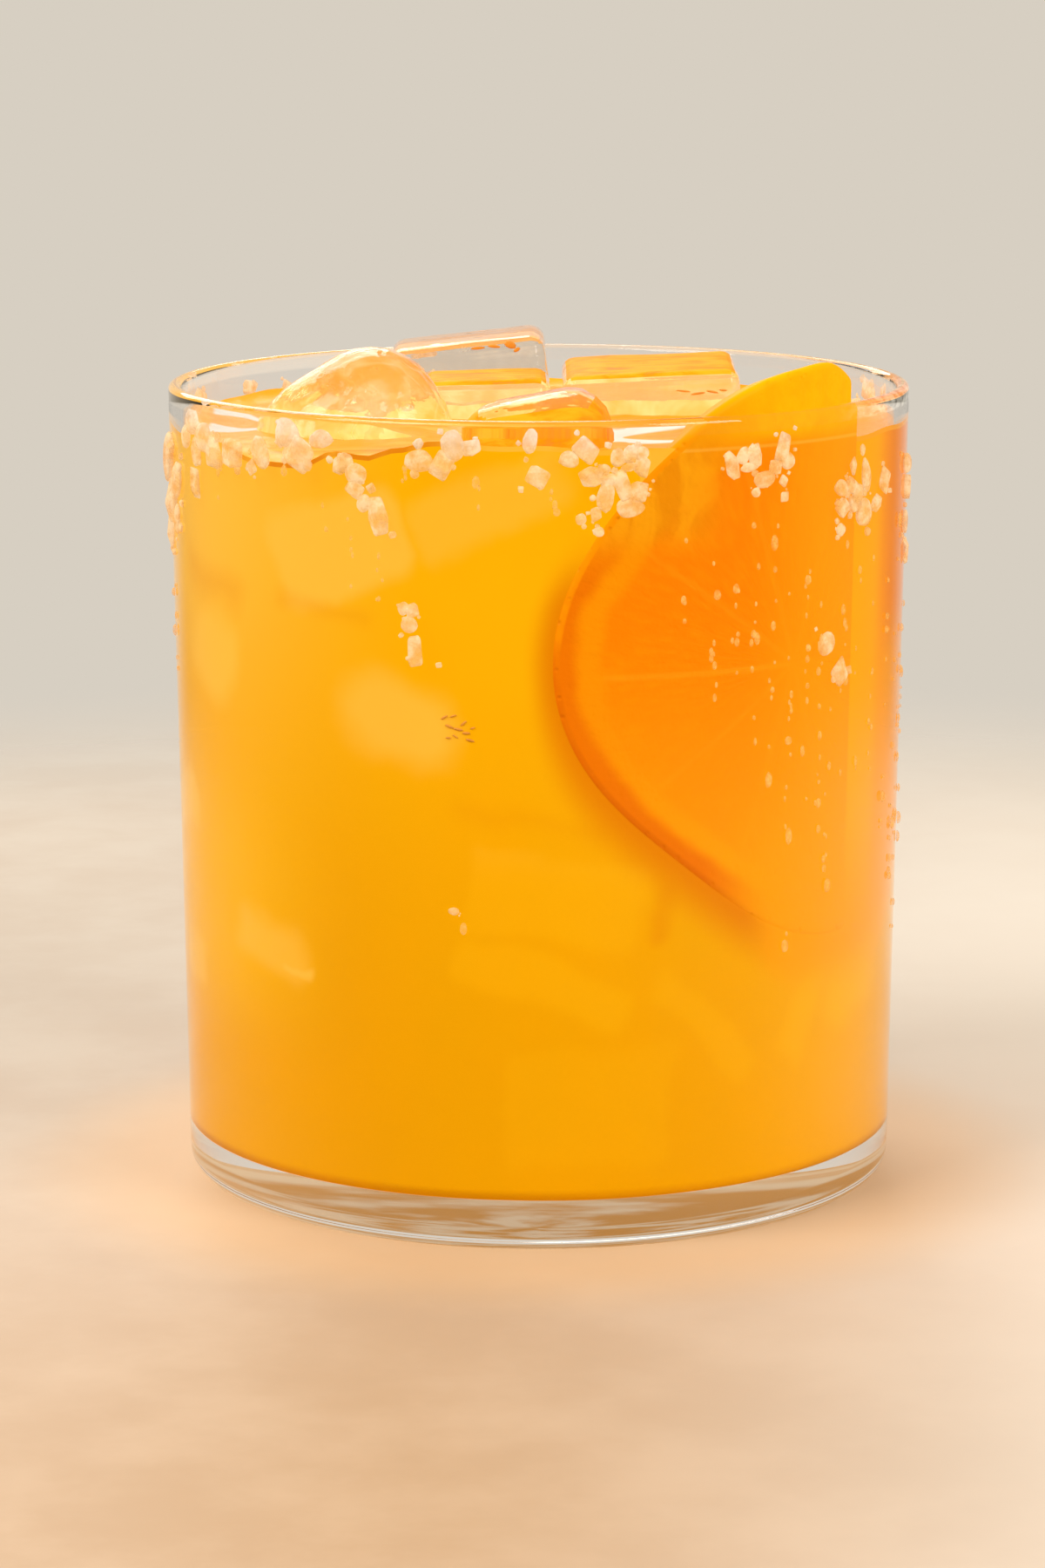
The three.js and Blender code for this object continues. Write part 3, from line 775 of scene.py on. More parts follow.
def iced_drink():
    """Cloudy orange drink: golden near the top, deeper below, with ice showing dimly behind the wall, painted
    light on its left side and a painted shadow beside the wheel.
    """
    finish, recipe, shader, place = new_material("iced_drink")
    z = recipe.parts(place)[2]
    turn = recipe.azimuth(place)
    wall_place = unrolled_wall(recipe, place, turn)

    base = recipe.fade(z, 20 * MM, 80 * MM, (238, 168, 0), (251, 182, 4))
    clouds = recipe.noise(place, 26 * MM, 3.0)
    base = recipe.mix(recipe.ease(clouds, 0.35, 0.7, 0.0, 0.45), base, (248, 172, 0))
    # Painted light: the drink paler on its upper left, and in a band lower down on the left
    off_back = recipe.ease(turn, -2.9, -2.2)
    upper_left = recipe.times(recipe.ease(turn, -0.3, -1.1), recipe.ease(z, 45 * MM, 85 * MM), off_back, 0.85)
    base = recipe.mix(upper_left, base, (252, 196, 68))
    low_band = recipe.times(recipe.ease(z, 62 * MM, 40 * MM), recipe.ease(z, 18 * MM, 32 * MM))
    low_left = recipe.times(low_band, recipe.ease(turn, -0.5, -1.0), off_back, 0.7)
    base = recipe.mix(low_left, base, (252, 188, 0))

    pale = 0.0
    for mask in soft_blocks(recipe, wall_place, SUNK_CUBES):
        pale = recipe.larger(pale, mask)
    paler = recipe.larger(recipe.ease(z, 42 * MM, 58 * MM), recipe.ease(turn, -0.5, -0.7))
    base = recipe.mix(pale, base, recipe.mix(paler, (252, 186, 10), (255, 198, 70)))

    reach = recipe.group("WheelMap", Place=place)["Reach"]
    shade_width = recipe.ease(z, 66 * MM, 46 * MM, 1.1, 1.2)
    left_of_wheel = recipe.times(recipe.ease(z, 84 * MM, 74 * MM), recipe.ease(turn, 0.85, 0.55))
    shadow = recipe.times(recipe.ease(reach, shade_width, 0.98), left_of_wheel, 0.85)
    base = recipe.mix(shadow, base, (226, 124, 0))
    low_right = recipe.times(recipe.ease(turn, 0.58, 0.74), recipe.ease(z, 52 * MM, 42 * MM))
    base = recipe.mix(recipe.times(low_right, recipe.ease(reach, 1.24, 1.02)), base, CLOUDED_WHEEL)
    past_cut = recipe.times(recipe.ease(turn, 0.9, 1.0), recipe.ease(turn, 2.1, 1.5))
    glow = recipe.times(past_cut, recipe.ease(z, 30 * MM, 50 * MM, 0.0, 0.9))
    base = recipe.mix(glow, base, recipe.fade(turn, 1.1, 1.2, (255, 168, 2), (253, 157, 2)))
    far_right = recipe.times(past_cut, recipe.ease(turn, 1.12, 1.26), recipe.ease(z, 62 * MM, 72 * MM))
    base = recipe.mix(far_right, base, (246, 138, 0))
    for mask in soft_blocks(recipe, wall_place, SHADED_EDGES):
        base = recipe.mix(mask, base, (232, 144, 0))
    recipe.fill(shader, Base_Color=base, Roughness=0.5, Specular_IOR_Level=0.01)
    return finish


def fill_lit(recipe, shader, tone, strength):
    """A matt surface that also gives off some light of its own tone."""
    recipe.fill(shader, Base_Color=tone, Emission_Color=tone, Emission_Strength=strength)
    recipe.fill(shader, Roughness=0.5, Specular_IOR_Level=0.01)


def drink_underside():
    """The drink's foot, seen through the thick base: a painted glow, given off as light, stands in for light
    carried through the glass, with painted pale streaks of the room seen through the uneven glass, paler to
    the left.
    """
    finish, recipe, shader, place = new_material("drink_underside")
    x, y, _ = recipe.parts(place)
    flat = recipe.join(x, y)
    rise = recipe.join(0.0, 0.0, recipe.times(recipe.vector("LENGTH", flat), 60.0))
    # Painted streaks of the room seen through the uneven glass
    streaks = recipe.noise(recipe.vector("ADD", recipe.vector("NORMALIZE", flat), rise), 0.5, 4.0)
    tone = recipe.fade(streaks, 0.4, 0.62, (188, 146, 84), (206, 193, 166))
    tone = recipe.mix(recipe.ease(x, -8 * MM, -38 * MM, 0.0, 0.6), tone, (238, 216, 180))
    # Painted glow: the underside gives off light of its own tone
    fill_lit(recipe, shader, tone, 0.6)
    return finish


def around_ice():
    """The drink's walls round each cube: paler and more golden than the rest, with a painted glow, given off
    as light, that stands in for light coming through the ice.
    """
    finish, recipe, shader, place = new_material("around_ice")
    lumps = recipe.noise(place, 6 * MM, 3.0, 0.6, 0.4)
    tone = recipe.fade(lumps, 0.35, 0.65, (250, 188, 80), (255, 222, 150))
    # Painted glow standing in for light through the ice
    fill_lit(recipe, shader, tone, 0.15)
    return finish


def shine_mask(recipe, x, y, broad, tip, half_width):
    """A wedge that narrows to nothing at its tip, with soft sides and ends."""
    along = recipe.math("DIVIDE", recipe.minus(x, broad[0] * MM), (tip[0] - broad[0]) * MM, clamp=True)
    middle = recipe.plus(recipe.times(along, (tip[1] - broad[1]) * MM), broad[1] * MM)
    half = recipe.times(recipe.minus(1.0, along), half_width * MM)
    past = recipe.minus(recipe.apart(y, middle), half)
    ends = recipe.times(recipe.ease(along, 0.0, 0.08), recipe.ease(along, 1.0, 0.92))
    return recipe.times(recipe.ease(past, 0.6 * MM, -0.8 * MM), ends)


def wet_drink_top():
    """The drink's open surface: glossy, streaked in front with pale streaks that carry painted highlights,
    and with painted reflections of the room where it is seen at a grazing angle.
    """
    finish, recipe, shader, place = new_material("wet_drink_top")
    x, y, _ = recipe.parts(place)
    tone = recipe.mix(recipe.noise(place, 16 * MM, 3.0), (236, 146, 4), (244, 162, 16))
    streaks = recipe.noise(recipe.stretch(place, 0.16, 1.0, 1.0), 3.2 * MM, 4.0, 0.6, 0.4)
    in_front = recipe.ease(y, -8 * MM, -16 * MM)
    more_at_left = recipe.ease(x, 12 * MM, -8 * MM, 0.4, 1.0)
    # Pale streaks of the film in front, with painted highlight, most on the left
    light = recipe.times(in_front, recipe.ease(streaks, 0.5, 0.68), more_at_left)
    tone = recipe.mix(light, tone, (250, 186, 80))
    dark = recipe.times(in_front, recipe.ease(streaks, 0.46, 0.36, 0.0, 0.8))
    tone = recipe.mix(dark, tone, (232, 140, 6))
    by_wall = recipe.ease(recipe.vector("LENGTH", recipe.join(x, y)), 38.5 * MM, 41 * MM, 0.0, 0.7)
    wall_tone = recipe.fade(x, 14 * MM, 26 * MM, (248, 174, 44), (246, 158, 20))
    tone = recipe.mix(by_wall, tone, wall_tone)
    # Painted reflections: pale wedges in the colour, shown only at grazing views
    grazing = recipe.ease(recipe.add("ShaderNodeLayerWeight").outputs["Facing"], 0.5, 0.72)
    for broad, tip, half_width, shine in TOP_SHINES:
        mask = recipe.times(shine_mask(recipe, x, y, broad, tip, half_width), grazing)
        tone = recipe.mix(mask, tone, shine)
    surface = recipe.group("WetSurface", Place=place, Wave_Size=7 * MM, Pit_Share=0.1)
    recipe.fill(
        shader, Base_Color=tone, Roughness=0.28, Specular_IOR_Level=0.03,
        Normal=recipe.bump(surface["Height"], 0.5 * MM),
    )
    return finish


def wet_line():
    """The drink's upper edge on the wall: darker under the thick film on the left, else like the drink."""
    finish, recipe, shader, place = new_material("wet_line")
    turn = recipe.azimuth(place)
    patchy = recipe.ease(recipe.noise(place, 5 * MM), 0.3, 0.55, 0.4, 1.0)
    thick = recipe.times(recipe.ease(turn, -1.05, -0.85), recipe.ease(turn, -0.1, -0.35), patchy)
    tone = recipe.mix(recipe.noise(place, 3 * MM), (250, 178, 20), (255, 196, 70))
    tone = recipe.fade(turn, 0.35, 0.45, tone, (253, 166, 24))
    tone = recipe.mix(thick, tone, (228, 136, 8))
    recipe.fill(shader, Base_Color=tone, Roughness=0.4, Specular_IOR_Level=0.1)
    return finish


def fade_into_drink(recipe, place, tone):
    """The cloudy drink hides the wheel's lower right side, and its part in the air is yellower."""
    x, _, z = recipe.parts(place)
    air_tone = recipe.fade(x, 16 * MM, 27 * MM, (242, 156, 4), (255, 184, 4))
    patches = recipe.ease(recipe.noise(place, 3 * MM, 3.0), 0.4, 0.7, 0.0, 0.4)
    air_tone = recipe.mix(patches, air_tone, (248, 164, 2))
    hidden = recipe.times(recipe.ease(z, 54 * MM, 40 * MM), recipe.ease(x, 17 * MM, 27 * MM))
    aired = recipe.ease(z, DRINK_LEVEL + 1 * MM, DRINK_LEVEL + 4 * MM, 0.0, 0.9)
    return recipe.mix(aired, recipe.mix(hidden, tone, CLOUDED_WHEEL), air_tone)


def orange_flesh():
    """Pith, thin walls between the segments, and pulp with vesicles that run out from the middle."""
    finish, recipe, shader, place = new_material("orange_flesh")
    x, _, z = recipe.parts(place)
    wheel = recipe.group("WheelMap", Place=place)
    reach, turn = wheel["Reach"], wheel["Turn"]
    waver = recipe.minus(recipe.noise(place, 7 * MM), 0.5)
    edge = recipe.plus(reach, recipe.times(waver, 0.09))

    streak_place = recipe.join(recipe.times(turn, 3.0), recipe.times(reach, 1.2))
    streaks = recipe.minus(recipe.noise(streak_place, 0.12, 3.0, 0.55), 0.5)
    streaks = recipe.plus(recipe.times(streaks, recipe.ease(reach, 0.04, 0.22)), 0.5)
    pulp = recipe.fade(z, 44 * MM, 78 * MM, (254, 152, 0), (250, 131, 0))
    pulp = recipe.mix(recipe.ease(streaks, 0.4, 0.75, 0.0, 0.3), pulp, (255, 158, 6))
    sector = recipe.times(turn, WHEEL_SEGMENTS / (2 * math.pi))
    phase = recipe.math("FRACT", recipe.plus(sector, float(WHEEL_SEGMENTS)))
    membrane = recipe.ease(recipe.times(recipe.apart(phase, 0.5), reach), 0.03, 0.004)
    clearest_at_left = recipe.ease(recipe.apart(turn, math.pi / 2), 0.3, 0.1, 0.16, 0.36)
    pulp = recipe.mix(recipe.times(membrane, clearest_at_left), pulp, (255, 166, 24))

    pith = recipe.fade(z, 44 * MM, 62 * MM, (253, 160, 3), (247, 147, 2))
    # Darker towards the wheel's lower edge: the pith's own deeper tone with painted shade
    rim_tone_and_shade = recipe.fade(z, 76 * MM, 86 * MM, (236, 120, 0), (249, 148, 2))
    pith = recipe.fade(edge, 0.86, 0.92, pith, rim_tone_and_shade)
    in_pulp = recipe.ease(edge, PULP_SHARE + 0.03, PULP_SHARE - 0.02)
    in_pulp = recipe.times(in_pulp, recipe.ease(edge, 0.05, 0.1))
    flesh = recipe.mix(in_pulp, recipe.fade(reach, 0.2, 0.1, pith, pulp), pulp)
    flesh = recipe.mix(recipe.ease(x, 21 * MM, 34 * MM, 0.0, 0.8), flesh, (254, 160, 3))
    marbled = recipe.noise(recipe.stretch(place, 1.0, 1.0, 0.5), 3.5 * MM, 4.0, 0.6, 0.8)
    upper_left = recipe.times(recipe.ease(z, 79 * MM, 84 * MM), recipe.ease(x, 23 * MM, 16 * MM), 0.8)
    flesh = recipe.mix(upper_left, flesh, recipe.fade(marbled, 0.38, 0.62, (232, 142, 6), (246, 164, 14)))
    wet_mark = recipe.ease(recipe.apart(z, DRINK_LEVEL + 1.6 * MM), 0.3 * MM, 0.05 * MM, 0.0, 0.4)
    flesh = recipe.mix(wet_mark, flesh, (255, 190, 70))
    lumps = recipe.plus(streaks, recipe.noise(place, 0.9 * MM))
    recipe.fill(
        shader, Base_Color=fade_into_drink(recipe, place, flesh), Roughness=0.4, Specular_IOR_Level=0.02,
        Normal=recipe.bump(lumps, 0.08 * MM),
    )
    return finish


def orange_peel():
    """Deep orange skin with fine pits, darker lower down, with painted shade along its lower edge and in the
    pits.
    """
    finish, recipe, shader, place = new_material("orange_peel")
    z = recipe.parts(place)[2]
    pits = recipe.cells(place, 1.1 * MM)
    upper = recipe.ease(z, 64 * MM, 75 * MM)
    # Darker lower down: the skin's own deeper orange with painted shade along the lower edge
    tone = recipe.fade(z, 52 * MM, 74 * MM, (226, 112, 0), (238, 124, 0))
    tone = recipe.mix(upper, tone, (248, 150, 2))
    mottled = recipe.ease(recipe.noise(place, 4 * MM, 4.0, 0.6), 0.45, 0.7, 0.0, 0.7)
    tone = recipe.mix(mottled, tone, recipe.mix(upper, (226, 108, 0), (236, 130, 2)))
    # Painted shade: darker in the pits
    tone = recipe.mix(recipe.ease(pits, 0.2, 0.0, 0.0, 0.35), tone, (205, 90, 0))
    recipe.fill(
        shader, Base_Color=fade_into_drink(recipe, place, tone), Roughness=0.4, Specular_IOR_Level=0.02,
        Normal=recipe.bump(recipe.ease(pits, 0.0, 0.35), 0.1 * MM),
    )
    return finish


def fill_pale(recipe, shader, tone, alpha, roughness):
    """A small pale thing that light goes through, with a painted glow of its own tone standing in for light
    from within, and without shine.
    """
    recipe.fill(
        shader, Base_Color=recipe.mix(OWN_LIGHT, tone, BLACK), Emission_Color=tone,
        Emission_Strength=OWN_LIGHT, Alpha=alpha, Roughness=roughness, Specular_IOR_Level=0.0,
    )


def coarse_salt():
    """Pale see-through crystals, warmer where the drink shines through them."""
    finish, recipe, shader, place = new_material("coarse_salt")
    grains = recipe.noise(place, 1.6 * MM, 3.0, 0.6)
    over_drink = recipe.fade(grains, 0.35, 0.65, (250, 188, 108), (255, 222, 172))
    over_clear = recipe.fade(grains, 0.35, 0.65, (236, 210, 178), (248, 230, 206))
    z = recipe.parts(place)[2]
    tone = recipe.fade(z, DRINK_LEVEL + 1 * MM, DRINK_LEVEL + 4 * MM, over_drink, over_clear)
    fill_pale(recipe, shader, tone, recipe.ease(grains, 0.3, 0.7, 0.45, 0.78), 0.35)
    recipe.fill(shader, Normal=recipe.bump(grains, 0.1 * MM))
    let_light_through(recipe, shader, (0.99, 0.97, 0.94, 1))
    return finish


def water_beads():
    """Clear drops, a little warm."""
    finish, recipe, shader, place = new_material("water_beads")
    lights = recipe.noise(place, 0.5 * MM)
    tone = recipe.mix(lights, (253, 174, 60), (255, 206, 126))
    fill_pale(recipe, shader, tone, recipe.ease(lights, 0.3, 0.7, 0.2, 0.6), 0.2)
    let_light_through(recipe, shader, (1, 0.98, 0.95, 1))
    return finish


def brown_flecks():
    """Browned scraps of peel."""
    finish, recipe, shader, place = new_material("brown_flecks")
    tone = recipe.mix(recipe.noise(place, 0.8 * MM), (200, 122, 24), (232, 158, 44))
    recipe.fill(shader, Base_Color=tone, Roughness=0.5)
    return finish


def pale_floor():
    """Pale and mottled: warmer in front, with painted light that makes it lighter to the right, a painted
    warm glow of light through the drink round the foot, and gone at its edge.
    """
    finish, recipe, shader, place = new_material("pale_floor")
    x, y, _ = recipe.parts(place)
    out = recipe.vector("LENGTH", place)
    spots = recipe.noise(place, 30 * MM, 5.0, 0.6)
    near = recipe.fade(spots, 0.35, 0.7, (186, 154, 120), (196, 166, 134))
    far = recipe.fade(spots, 0.35, 0.7, (192, 176, 158), (198, 185, 169))
    tone = recipe.fade(y, -140 * MM, 40 * MM, near, far)
    # Painted light: the floor lighter to the right, less so at the back
    less_at_back = recipe.ease(y, 260 * MM, 90 * MM, 0.6, 1.0)
    painted_light_right = recipe.times(recipe.ease(x, -20 * MM, 90 * MM), less_at_back, 0.85)
    tone = recipe.mix(painted_light_right, tone, (230, 221, 209))
    # Painted glow of light through the drink round the foot
    tone = recipe.mix(recipe.ease(out, 68 * MM, 46 * MM, 0.0, 0.6), tone, (222, 186, 140))
    recipe.fill(shader, Base_Color=tone, Roughness=0.6)
    show_through(recipe, shader, recipe.ease(out, 200 * MM, 350 * MM))
    return finish


# Tumbler

def make_tumbler():
    tumbler = add_cylinder(FOOT_RADIUS, 0, GLASS_HEIGHT)
    rim_inside = RIM_RADIUS - WALL_AT_RIM
    floor_radius = inner_radius(BASE_THICKNESS)
    edit(tumbler)
    pick(tumbler, "verts", lambda vertex: vertex.co.z > GLASS_HEIGHT / 2)
    widen(RIM_RADIUS / FOOT_RADIUS)
    pick(tumbler, "faces", lambda face: is_cap(face, 1))
    inset(WALL_AT_RIM)
    depth = GLASS_HEIGHT - BASE_THICKNESS
    bpy.ops.mesh.extrude_region_move(TRANSFORM_OT_translate={"value": (0, 0, -depth)})
    widen(floor_radius / rim_inside)

    pick(tumbler, "edges", lambda edge: is_ring(edge, RIM_RADIUS, GLASS_HEIGHT)
         or is_ring(edge, rim_inside, GLASS_HEIGHT))
    round_edges(RIM_ROUND, 5)
    pick(tumbler, "edges", lambda edge: is_ring(edge, FOOT_RADIUS, 0))
    round_edges(HEEL_ROUND)
    pick(tumbler, "edges", lambda edge: is_ring(edge, floor_radius, BASE_THICKNESS, 0.2 * MM))
    round_edges(FLOOR_ROUND)

    pick_all()
    bpy.ops.mesh.bisect(plane_co=(0, 0, RIM_BAND), plane_no=(0, 0, 1))
    pick(tumbler, "faces", lambda face: is_cap(face, -1))
    inset(outer_radius(0) - HEEL_ROUND - PUNT_RADIUS, PUNT_SLOPE)
    bpy.ops.transform.translate(value=(0, 0, PUNT_DEPTH))
    inset(PUNT_RING)
    bpy.ops.mesh.poke()
    pick(tumbler, "faces", lambda face: is_cap(face, 1))
    inset(*[FLOOR_RING] * 4)
    bpy.ops.mesh.poke()
    shade(tumbler, 50)
    finishes = (clear_glass("clear_glass", (0.08, 0.07, 0.06)), bright_rim())
    finish_piece(tumbler, "tumbler", finishes, "clear_glass", "glass")
    for face in tumbler.data.polygons:
        face.material_index = int(face.center.z > RIM_BAND)


# Drink

def contact_rise(azimuth):
    """How far above its level the drink wets the wall at this azimuth."""
    for (left, low), (right, high) in zip(CONTACT_LINE, CONTACT_LINE[1:]):
        if left <= azimuth <= right:
            share = (azimuth - left) / (right - left)
            share = share * share * (3 - 2 * share)
            waver = 0.12 * math.sin(azimuth / 2.6 + 1.0)
            return (low + (high - low) * share + waver) * MM - DRINK_LEVEL
    return MM


def surface_height(point, ice_boxes):
    """The drink's surface above its level: ripples, the climb at the wall and a smaller one at the ice."""
    wall_gap = inner_radius(DRINK_LEVEL) + DRINK_REACH - point.xy.length
    climb = contact_rise(azimuth_of(point)) * math.exp(-max(wall_gap, 0.0) / MENISCUS_LENGTH)
    ripple = RIPPLE_HEIGHT * math.sin(point.x / (4.1 * MM)) * math.cos(point.y / (5.3 * MM))
    nearest = min(
        math.hypot(max(low.x - point.x, 0, point.x - high.x), max(low.y - point.y, 0, point.y - high.y))
        for low, high in ice_boxes
    )
    return climb + ripple + ICE_CLIMB * math.exp(-nearest / ICE_CLIMB_LENGTH)


def lies_in(point, box, slack):
    low, high = box
    return all(low[axis] - slack < point[axis] < high[axis] + slack for axis in range(3))


def drink_slot(face, ice_boxes):
    """Which of the drink's finishes this face has."""
    by_surface = face.center.z > DRINK_LEVEL - MM
    if by_surface and face.normal.z > 0.3:
        return TOP
    if any(lies_in(face.center, box, 0.5 * MM) for box in ice_boxes):
        return AROUND_ICE
    if by_surface:
        return WET_EDGE
    return UNDERSIDE if face.center.z < BASE_THICKNESS + 0.1 * MM else SIDE


def make_drink():
    floor = BASE_THICKNESS - DRINK_REACH
    foot = inner_radius(floor) + DRINK_REACH
    drink = add_cylinder(foot, floor, DRINK_LEVEL)
    edit(drink)
    pick(drink, "verts", lambda vertex: vertex.co.z > DRINK_LEVEL / 2)
    widen((inner_radius(DRINK_LEVEL) + DRINK_REACH) / foot)
    pick(drink, "edges", lambda edge: is_ring(edge, foot, floor))
    round_edges(FLOOR_ROUND)
    pick_all()
    bpy.ops.mesh.bisect(plane_co=(0, 0, DRINK_LEVEL - WET_LINE), plane_no=(0, 0, 1))
    pick(drink, "faces", lambda face: is_cap(face, 1))
    inset(*[width * MM for width in TOP_RINGS])
    bpy.ops.mesh.poke()
    let_go()
    ice_boxes = [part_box(name) for name in ICE]
    for vertex in drink.data.vertices:
        if vertex.co.z > DRINK_LEVEL - MM:
            vertex.co.z += surface_height(vertex.co, ice_boxes)
    for name in ICE:
        cut_with(drink, ice_block(name, ICE_CLEARANCE))
    cut_with(drink, wheel_blank(-DRINK_OVER_WHEEL))
    shade(drink, 40)
    finishes = (iced_drink(), wet_drink_top(), drink_underside(), wet_line(), around_ice())
    finish_piece(drink, "iced_drink", finishes, "drink", "drink")
    for face in drink.data.polygons:
        face.material_index = drink_slot(face, ice_boxes)


# Orange wheel

def uneven(turn):
    """The wheel's radius at this turn, as a share of the plain one."""
    waves = sum((depth * math.cos(count * (turn - crest)) for count, depth, crest in WHEEL_WAVES), 1)
    return waves + WHEEL_CREST * bump(turn, WHEEL_CREST_TURN, WHEEL_CREST_WIDTH)


def make_uneven(piece):
    """Turns the round flat wheel into the oval, slightly egg-shaped one, smaller towards its inner face."""
    for vertex in piece.data.vertices:
        flat = vertex.co
        taper = 1 - WHEEL_TAPER * max(flat.y, 0) / WHEEL_THICKNESS
        factor = uneven(math.atan2(-flat.x, flat.z)) * taper
        vertex.co = (flat.x * factor, flat.y, flat.z * factor)
    piece.data.update()


def bend_to_wall(piece, reach):
    """Lays the flat wheel round the wall: X runs along it, Y inwards, Z up."""
    middle = inner_radius(WHEEL_HEIGHT)
    for vertex in piece.data.vertices:
        flat = vertex.co.copy()
        height = WHEEL_HEIGHT + flat.z
        radius = inner_radius(height) + reach - flat.y
        vertex.co = on_wall(WHEEL_AZIMUTH + flat.x / middle, radius, height)
    piece.data.update()


def fit_to_wall(piece, reach, grow=0.0):
    """Makes a flat round piece uneven, cuts it straight at its side and lays it round the wall."""
    make_uneven(piece)
    edit(piece)
    bpy.ops.mesh.bisect(
        plane_co=(CUT_PAST_MIDDLE + grow, 0, 0), plane_no=(1, 0, 0), use_fill=True, clear_outer=True,
        threshold=0.001 * MM,
    )
    let_go()
    bend_to_wall(piece, reach)


def flat_disc(radius, thickness, ring_width, rings):
    """A disc that faces -Y, with rings inset in both faces."""
    disc = add_primitive(
        bpy.ops.mesh.primitive_cylinder_add, vertices=WHEEL_SIDES, radius=radius, depth=thickness,
        location=(0, thickness / 2, 0), rotation=(math.pi / 2, 0, 0),
    )
    edit(disc)
    for side in (-1, 1):
        pick(disc, "faces", lambda face: face.normal.y * side > 0.9)
        inset(*[ring_width] * rings)
        bpy.ops.mesh.poke()
    let_go()
    return disc


def wheel_blank(grow):
    """The whole wheel's shape, larger all round by grow, to cut the drink with."""
    blank = flat_disc(WHEEL_RADIUS + grow, WHEEL_THICKNESS + 2 * WALL_AT_RIM, ring_width=3.5 * MM, rings=7)
    for vertex in blank.data.vertices:
        vertex.co.y -= 2 * WALL_AT_RIM - grow
    fit_to_wall(blank, 0, grow)
    return blank


def make_wheel_flesh():
    radius = WHEEL_RADIUS - PEEL_THICKNESS + PEEL_OVERLAP
    flesh = flat_disc(radius, WHEEL_THICKNESS, ring_width=1.6 * MM, rings=16)
    fit_to_wall(flesh, WHEEL_REACH)
    shade(flesh, 35)
    finish_piece(flesh, "orange_flesh", [orange_flesh()], "orange", "orange_wheel")


def make_wheel_peel():
    """A band of skin, spun from its cross-section."""
    middle = WHEEL_RADIUS - PEEL_THICKNESS / 2
    peel = add_primitive(
        bpy.ops.mesh.primitive_plane_add, (PEEL_THICKNESS, WHEEL_THICKNESS, 1), size=1,
        location=(middle, WHEEL_THICKNESS / 2, 0),
    )
    edit(peel)
    pick(peel, "verts", lambda vertex: vertex.co.x > middle)
    bpy.ops.mesh.bevel(offset=PEEL_ROUND, segments=4, affect="VERTICES")
    pick_all()
    bpy.ops.mesh.delete(type="ONLY_FACE")
    pick_all()
    bpy.ops.mesh.spin(steps=240, angle=2 * math.pi, center=(0, 0, 0), axis=(0, 1, 0))
    pick_all()
    bpy.ops.mesh.remove_doubles(threshold=0.01 * MM)
    bpy.ops.mesh.normals_make_consistent(inside=False)
    let_go()
    fit_to_wall(peel, WHEEL_REACH)
    shade(peel, 35)
    finish_piece(peel, "orange_peel", [orange_peel()], "orange", "orange_wheel")


# Ice

def ice_block(name, shrink=0.0):
    """One cube as the frame has it, smaller all round by shrink."""
    size, (about_x, about_y, about_z), rounding = ICE[name]
    low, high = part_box(name)
    sides = [side * MM - 2 * shrink for side in size]
    cube = add_primitive(bpy.ops.mesh.primitive_cube_add, sides, size=1)
    edit(cube)
    round_edges(rounding * MM - shrink, ROUND_STEPS if rounding > FINE_ROUND_FROM else 4)
    let_go()
    tilt = turned(about_z, "Z") @ turned(about_y, "Y") @ turned(about_x, "X")
    cube.matrix_world = Matrix.Translation((low + high) / 2) @ tilt
    set_place(cube)
    return cube


def make_ice():
    melted = {
        "ice_left": wet_ice("crystal_ice", 6 * MM, 1.1 * MM, 0.9, 0.8),
        "ice_front": wet_ice("frothy_ice", 4 * MM, 0.6 * MM, 0.4, 0.5, (1.0, 0.86, 0.58, 1)),
        "ice_back": wet_ice("hazy_ice", 8 * MM, 0.5 * MM, 0.2, 0.0, (0.8, 0.76, 0.69, 1)),
    }
    plain = wet_ice("clear_ice", 9 * MM, 0.25 * MM, 0.2)
    amber = amber_ice_top()
    waves = bpy.data.textures.new("melt_waves", "CLOUDS")
    waves.noise_scale = 9 * MM
    for name, (_, _, rounding) in ICE.items():
        cube = ice_block(name)
        edit(cube)
        bpy.ops.mesh.subdivide(number_cuts=3)
        roughen(cube, waves, DEEP_MELT_WAVE if rounding > MELTED_FROM else MELT_WAVE)
        shade(cube, 60)
        finishes = [melted.get(name, plain)]
        if name in AMBER_PART:
            finishes.append(amber)
        finish_piece(cube, name.replace("ice_", "cube_"), finishes, "ice", name)
        for face in cube.data.polygons:
            part = "top" if face.normal.z > 0.75 else "sides"
            face.material_index = int(AMBER_PART.get(name) == part)


# Salt, beads and flecks

def make_grain(kind):
    """One salt crystal about 1 across: an uneven block or lump with worn edges."""
    if kind % 2:
        grain = add_primitive(bpy.ops.mesh.primitive_cube_add, size=0.78)
    else:
        grain = add_primitive(bpy.ops.mesh.primitive_ico_sphere_add, subdivisions=1, radius=0.54)
    edit(grain)
    bpy.ops.transform.vertex_random(offset=0.16, seed=kind)
    bpy.ops.mesh.bevel(offset=0.12, segments=2, affect="EDGES")
    pick_all()
    bpy.ops.transform.vertex_random(offset=0.02, seed=kind + 20)
    shade(grain, 60)
    return grain


def make_bead(kind):
    """One drop about 1 across, flatter where it clings and a little long."""
    bead = add_primitive(bpy.ops.mesh.primitive_ico_sphere_add, subdivisions=2, radius=0.5)
    edit(bead)
    pick(bead, "verts", lambda vertex: vertex.co.y > 0)
    resize(1, 0.3, 1)
    pick(bead, "verts", lambda vertex: vertex.co.z < -0.1)
    resize(1.1, 1.1, 1 + 0.2 * kind)
    shade(bead, 80)
    return bead


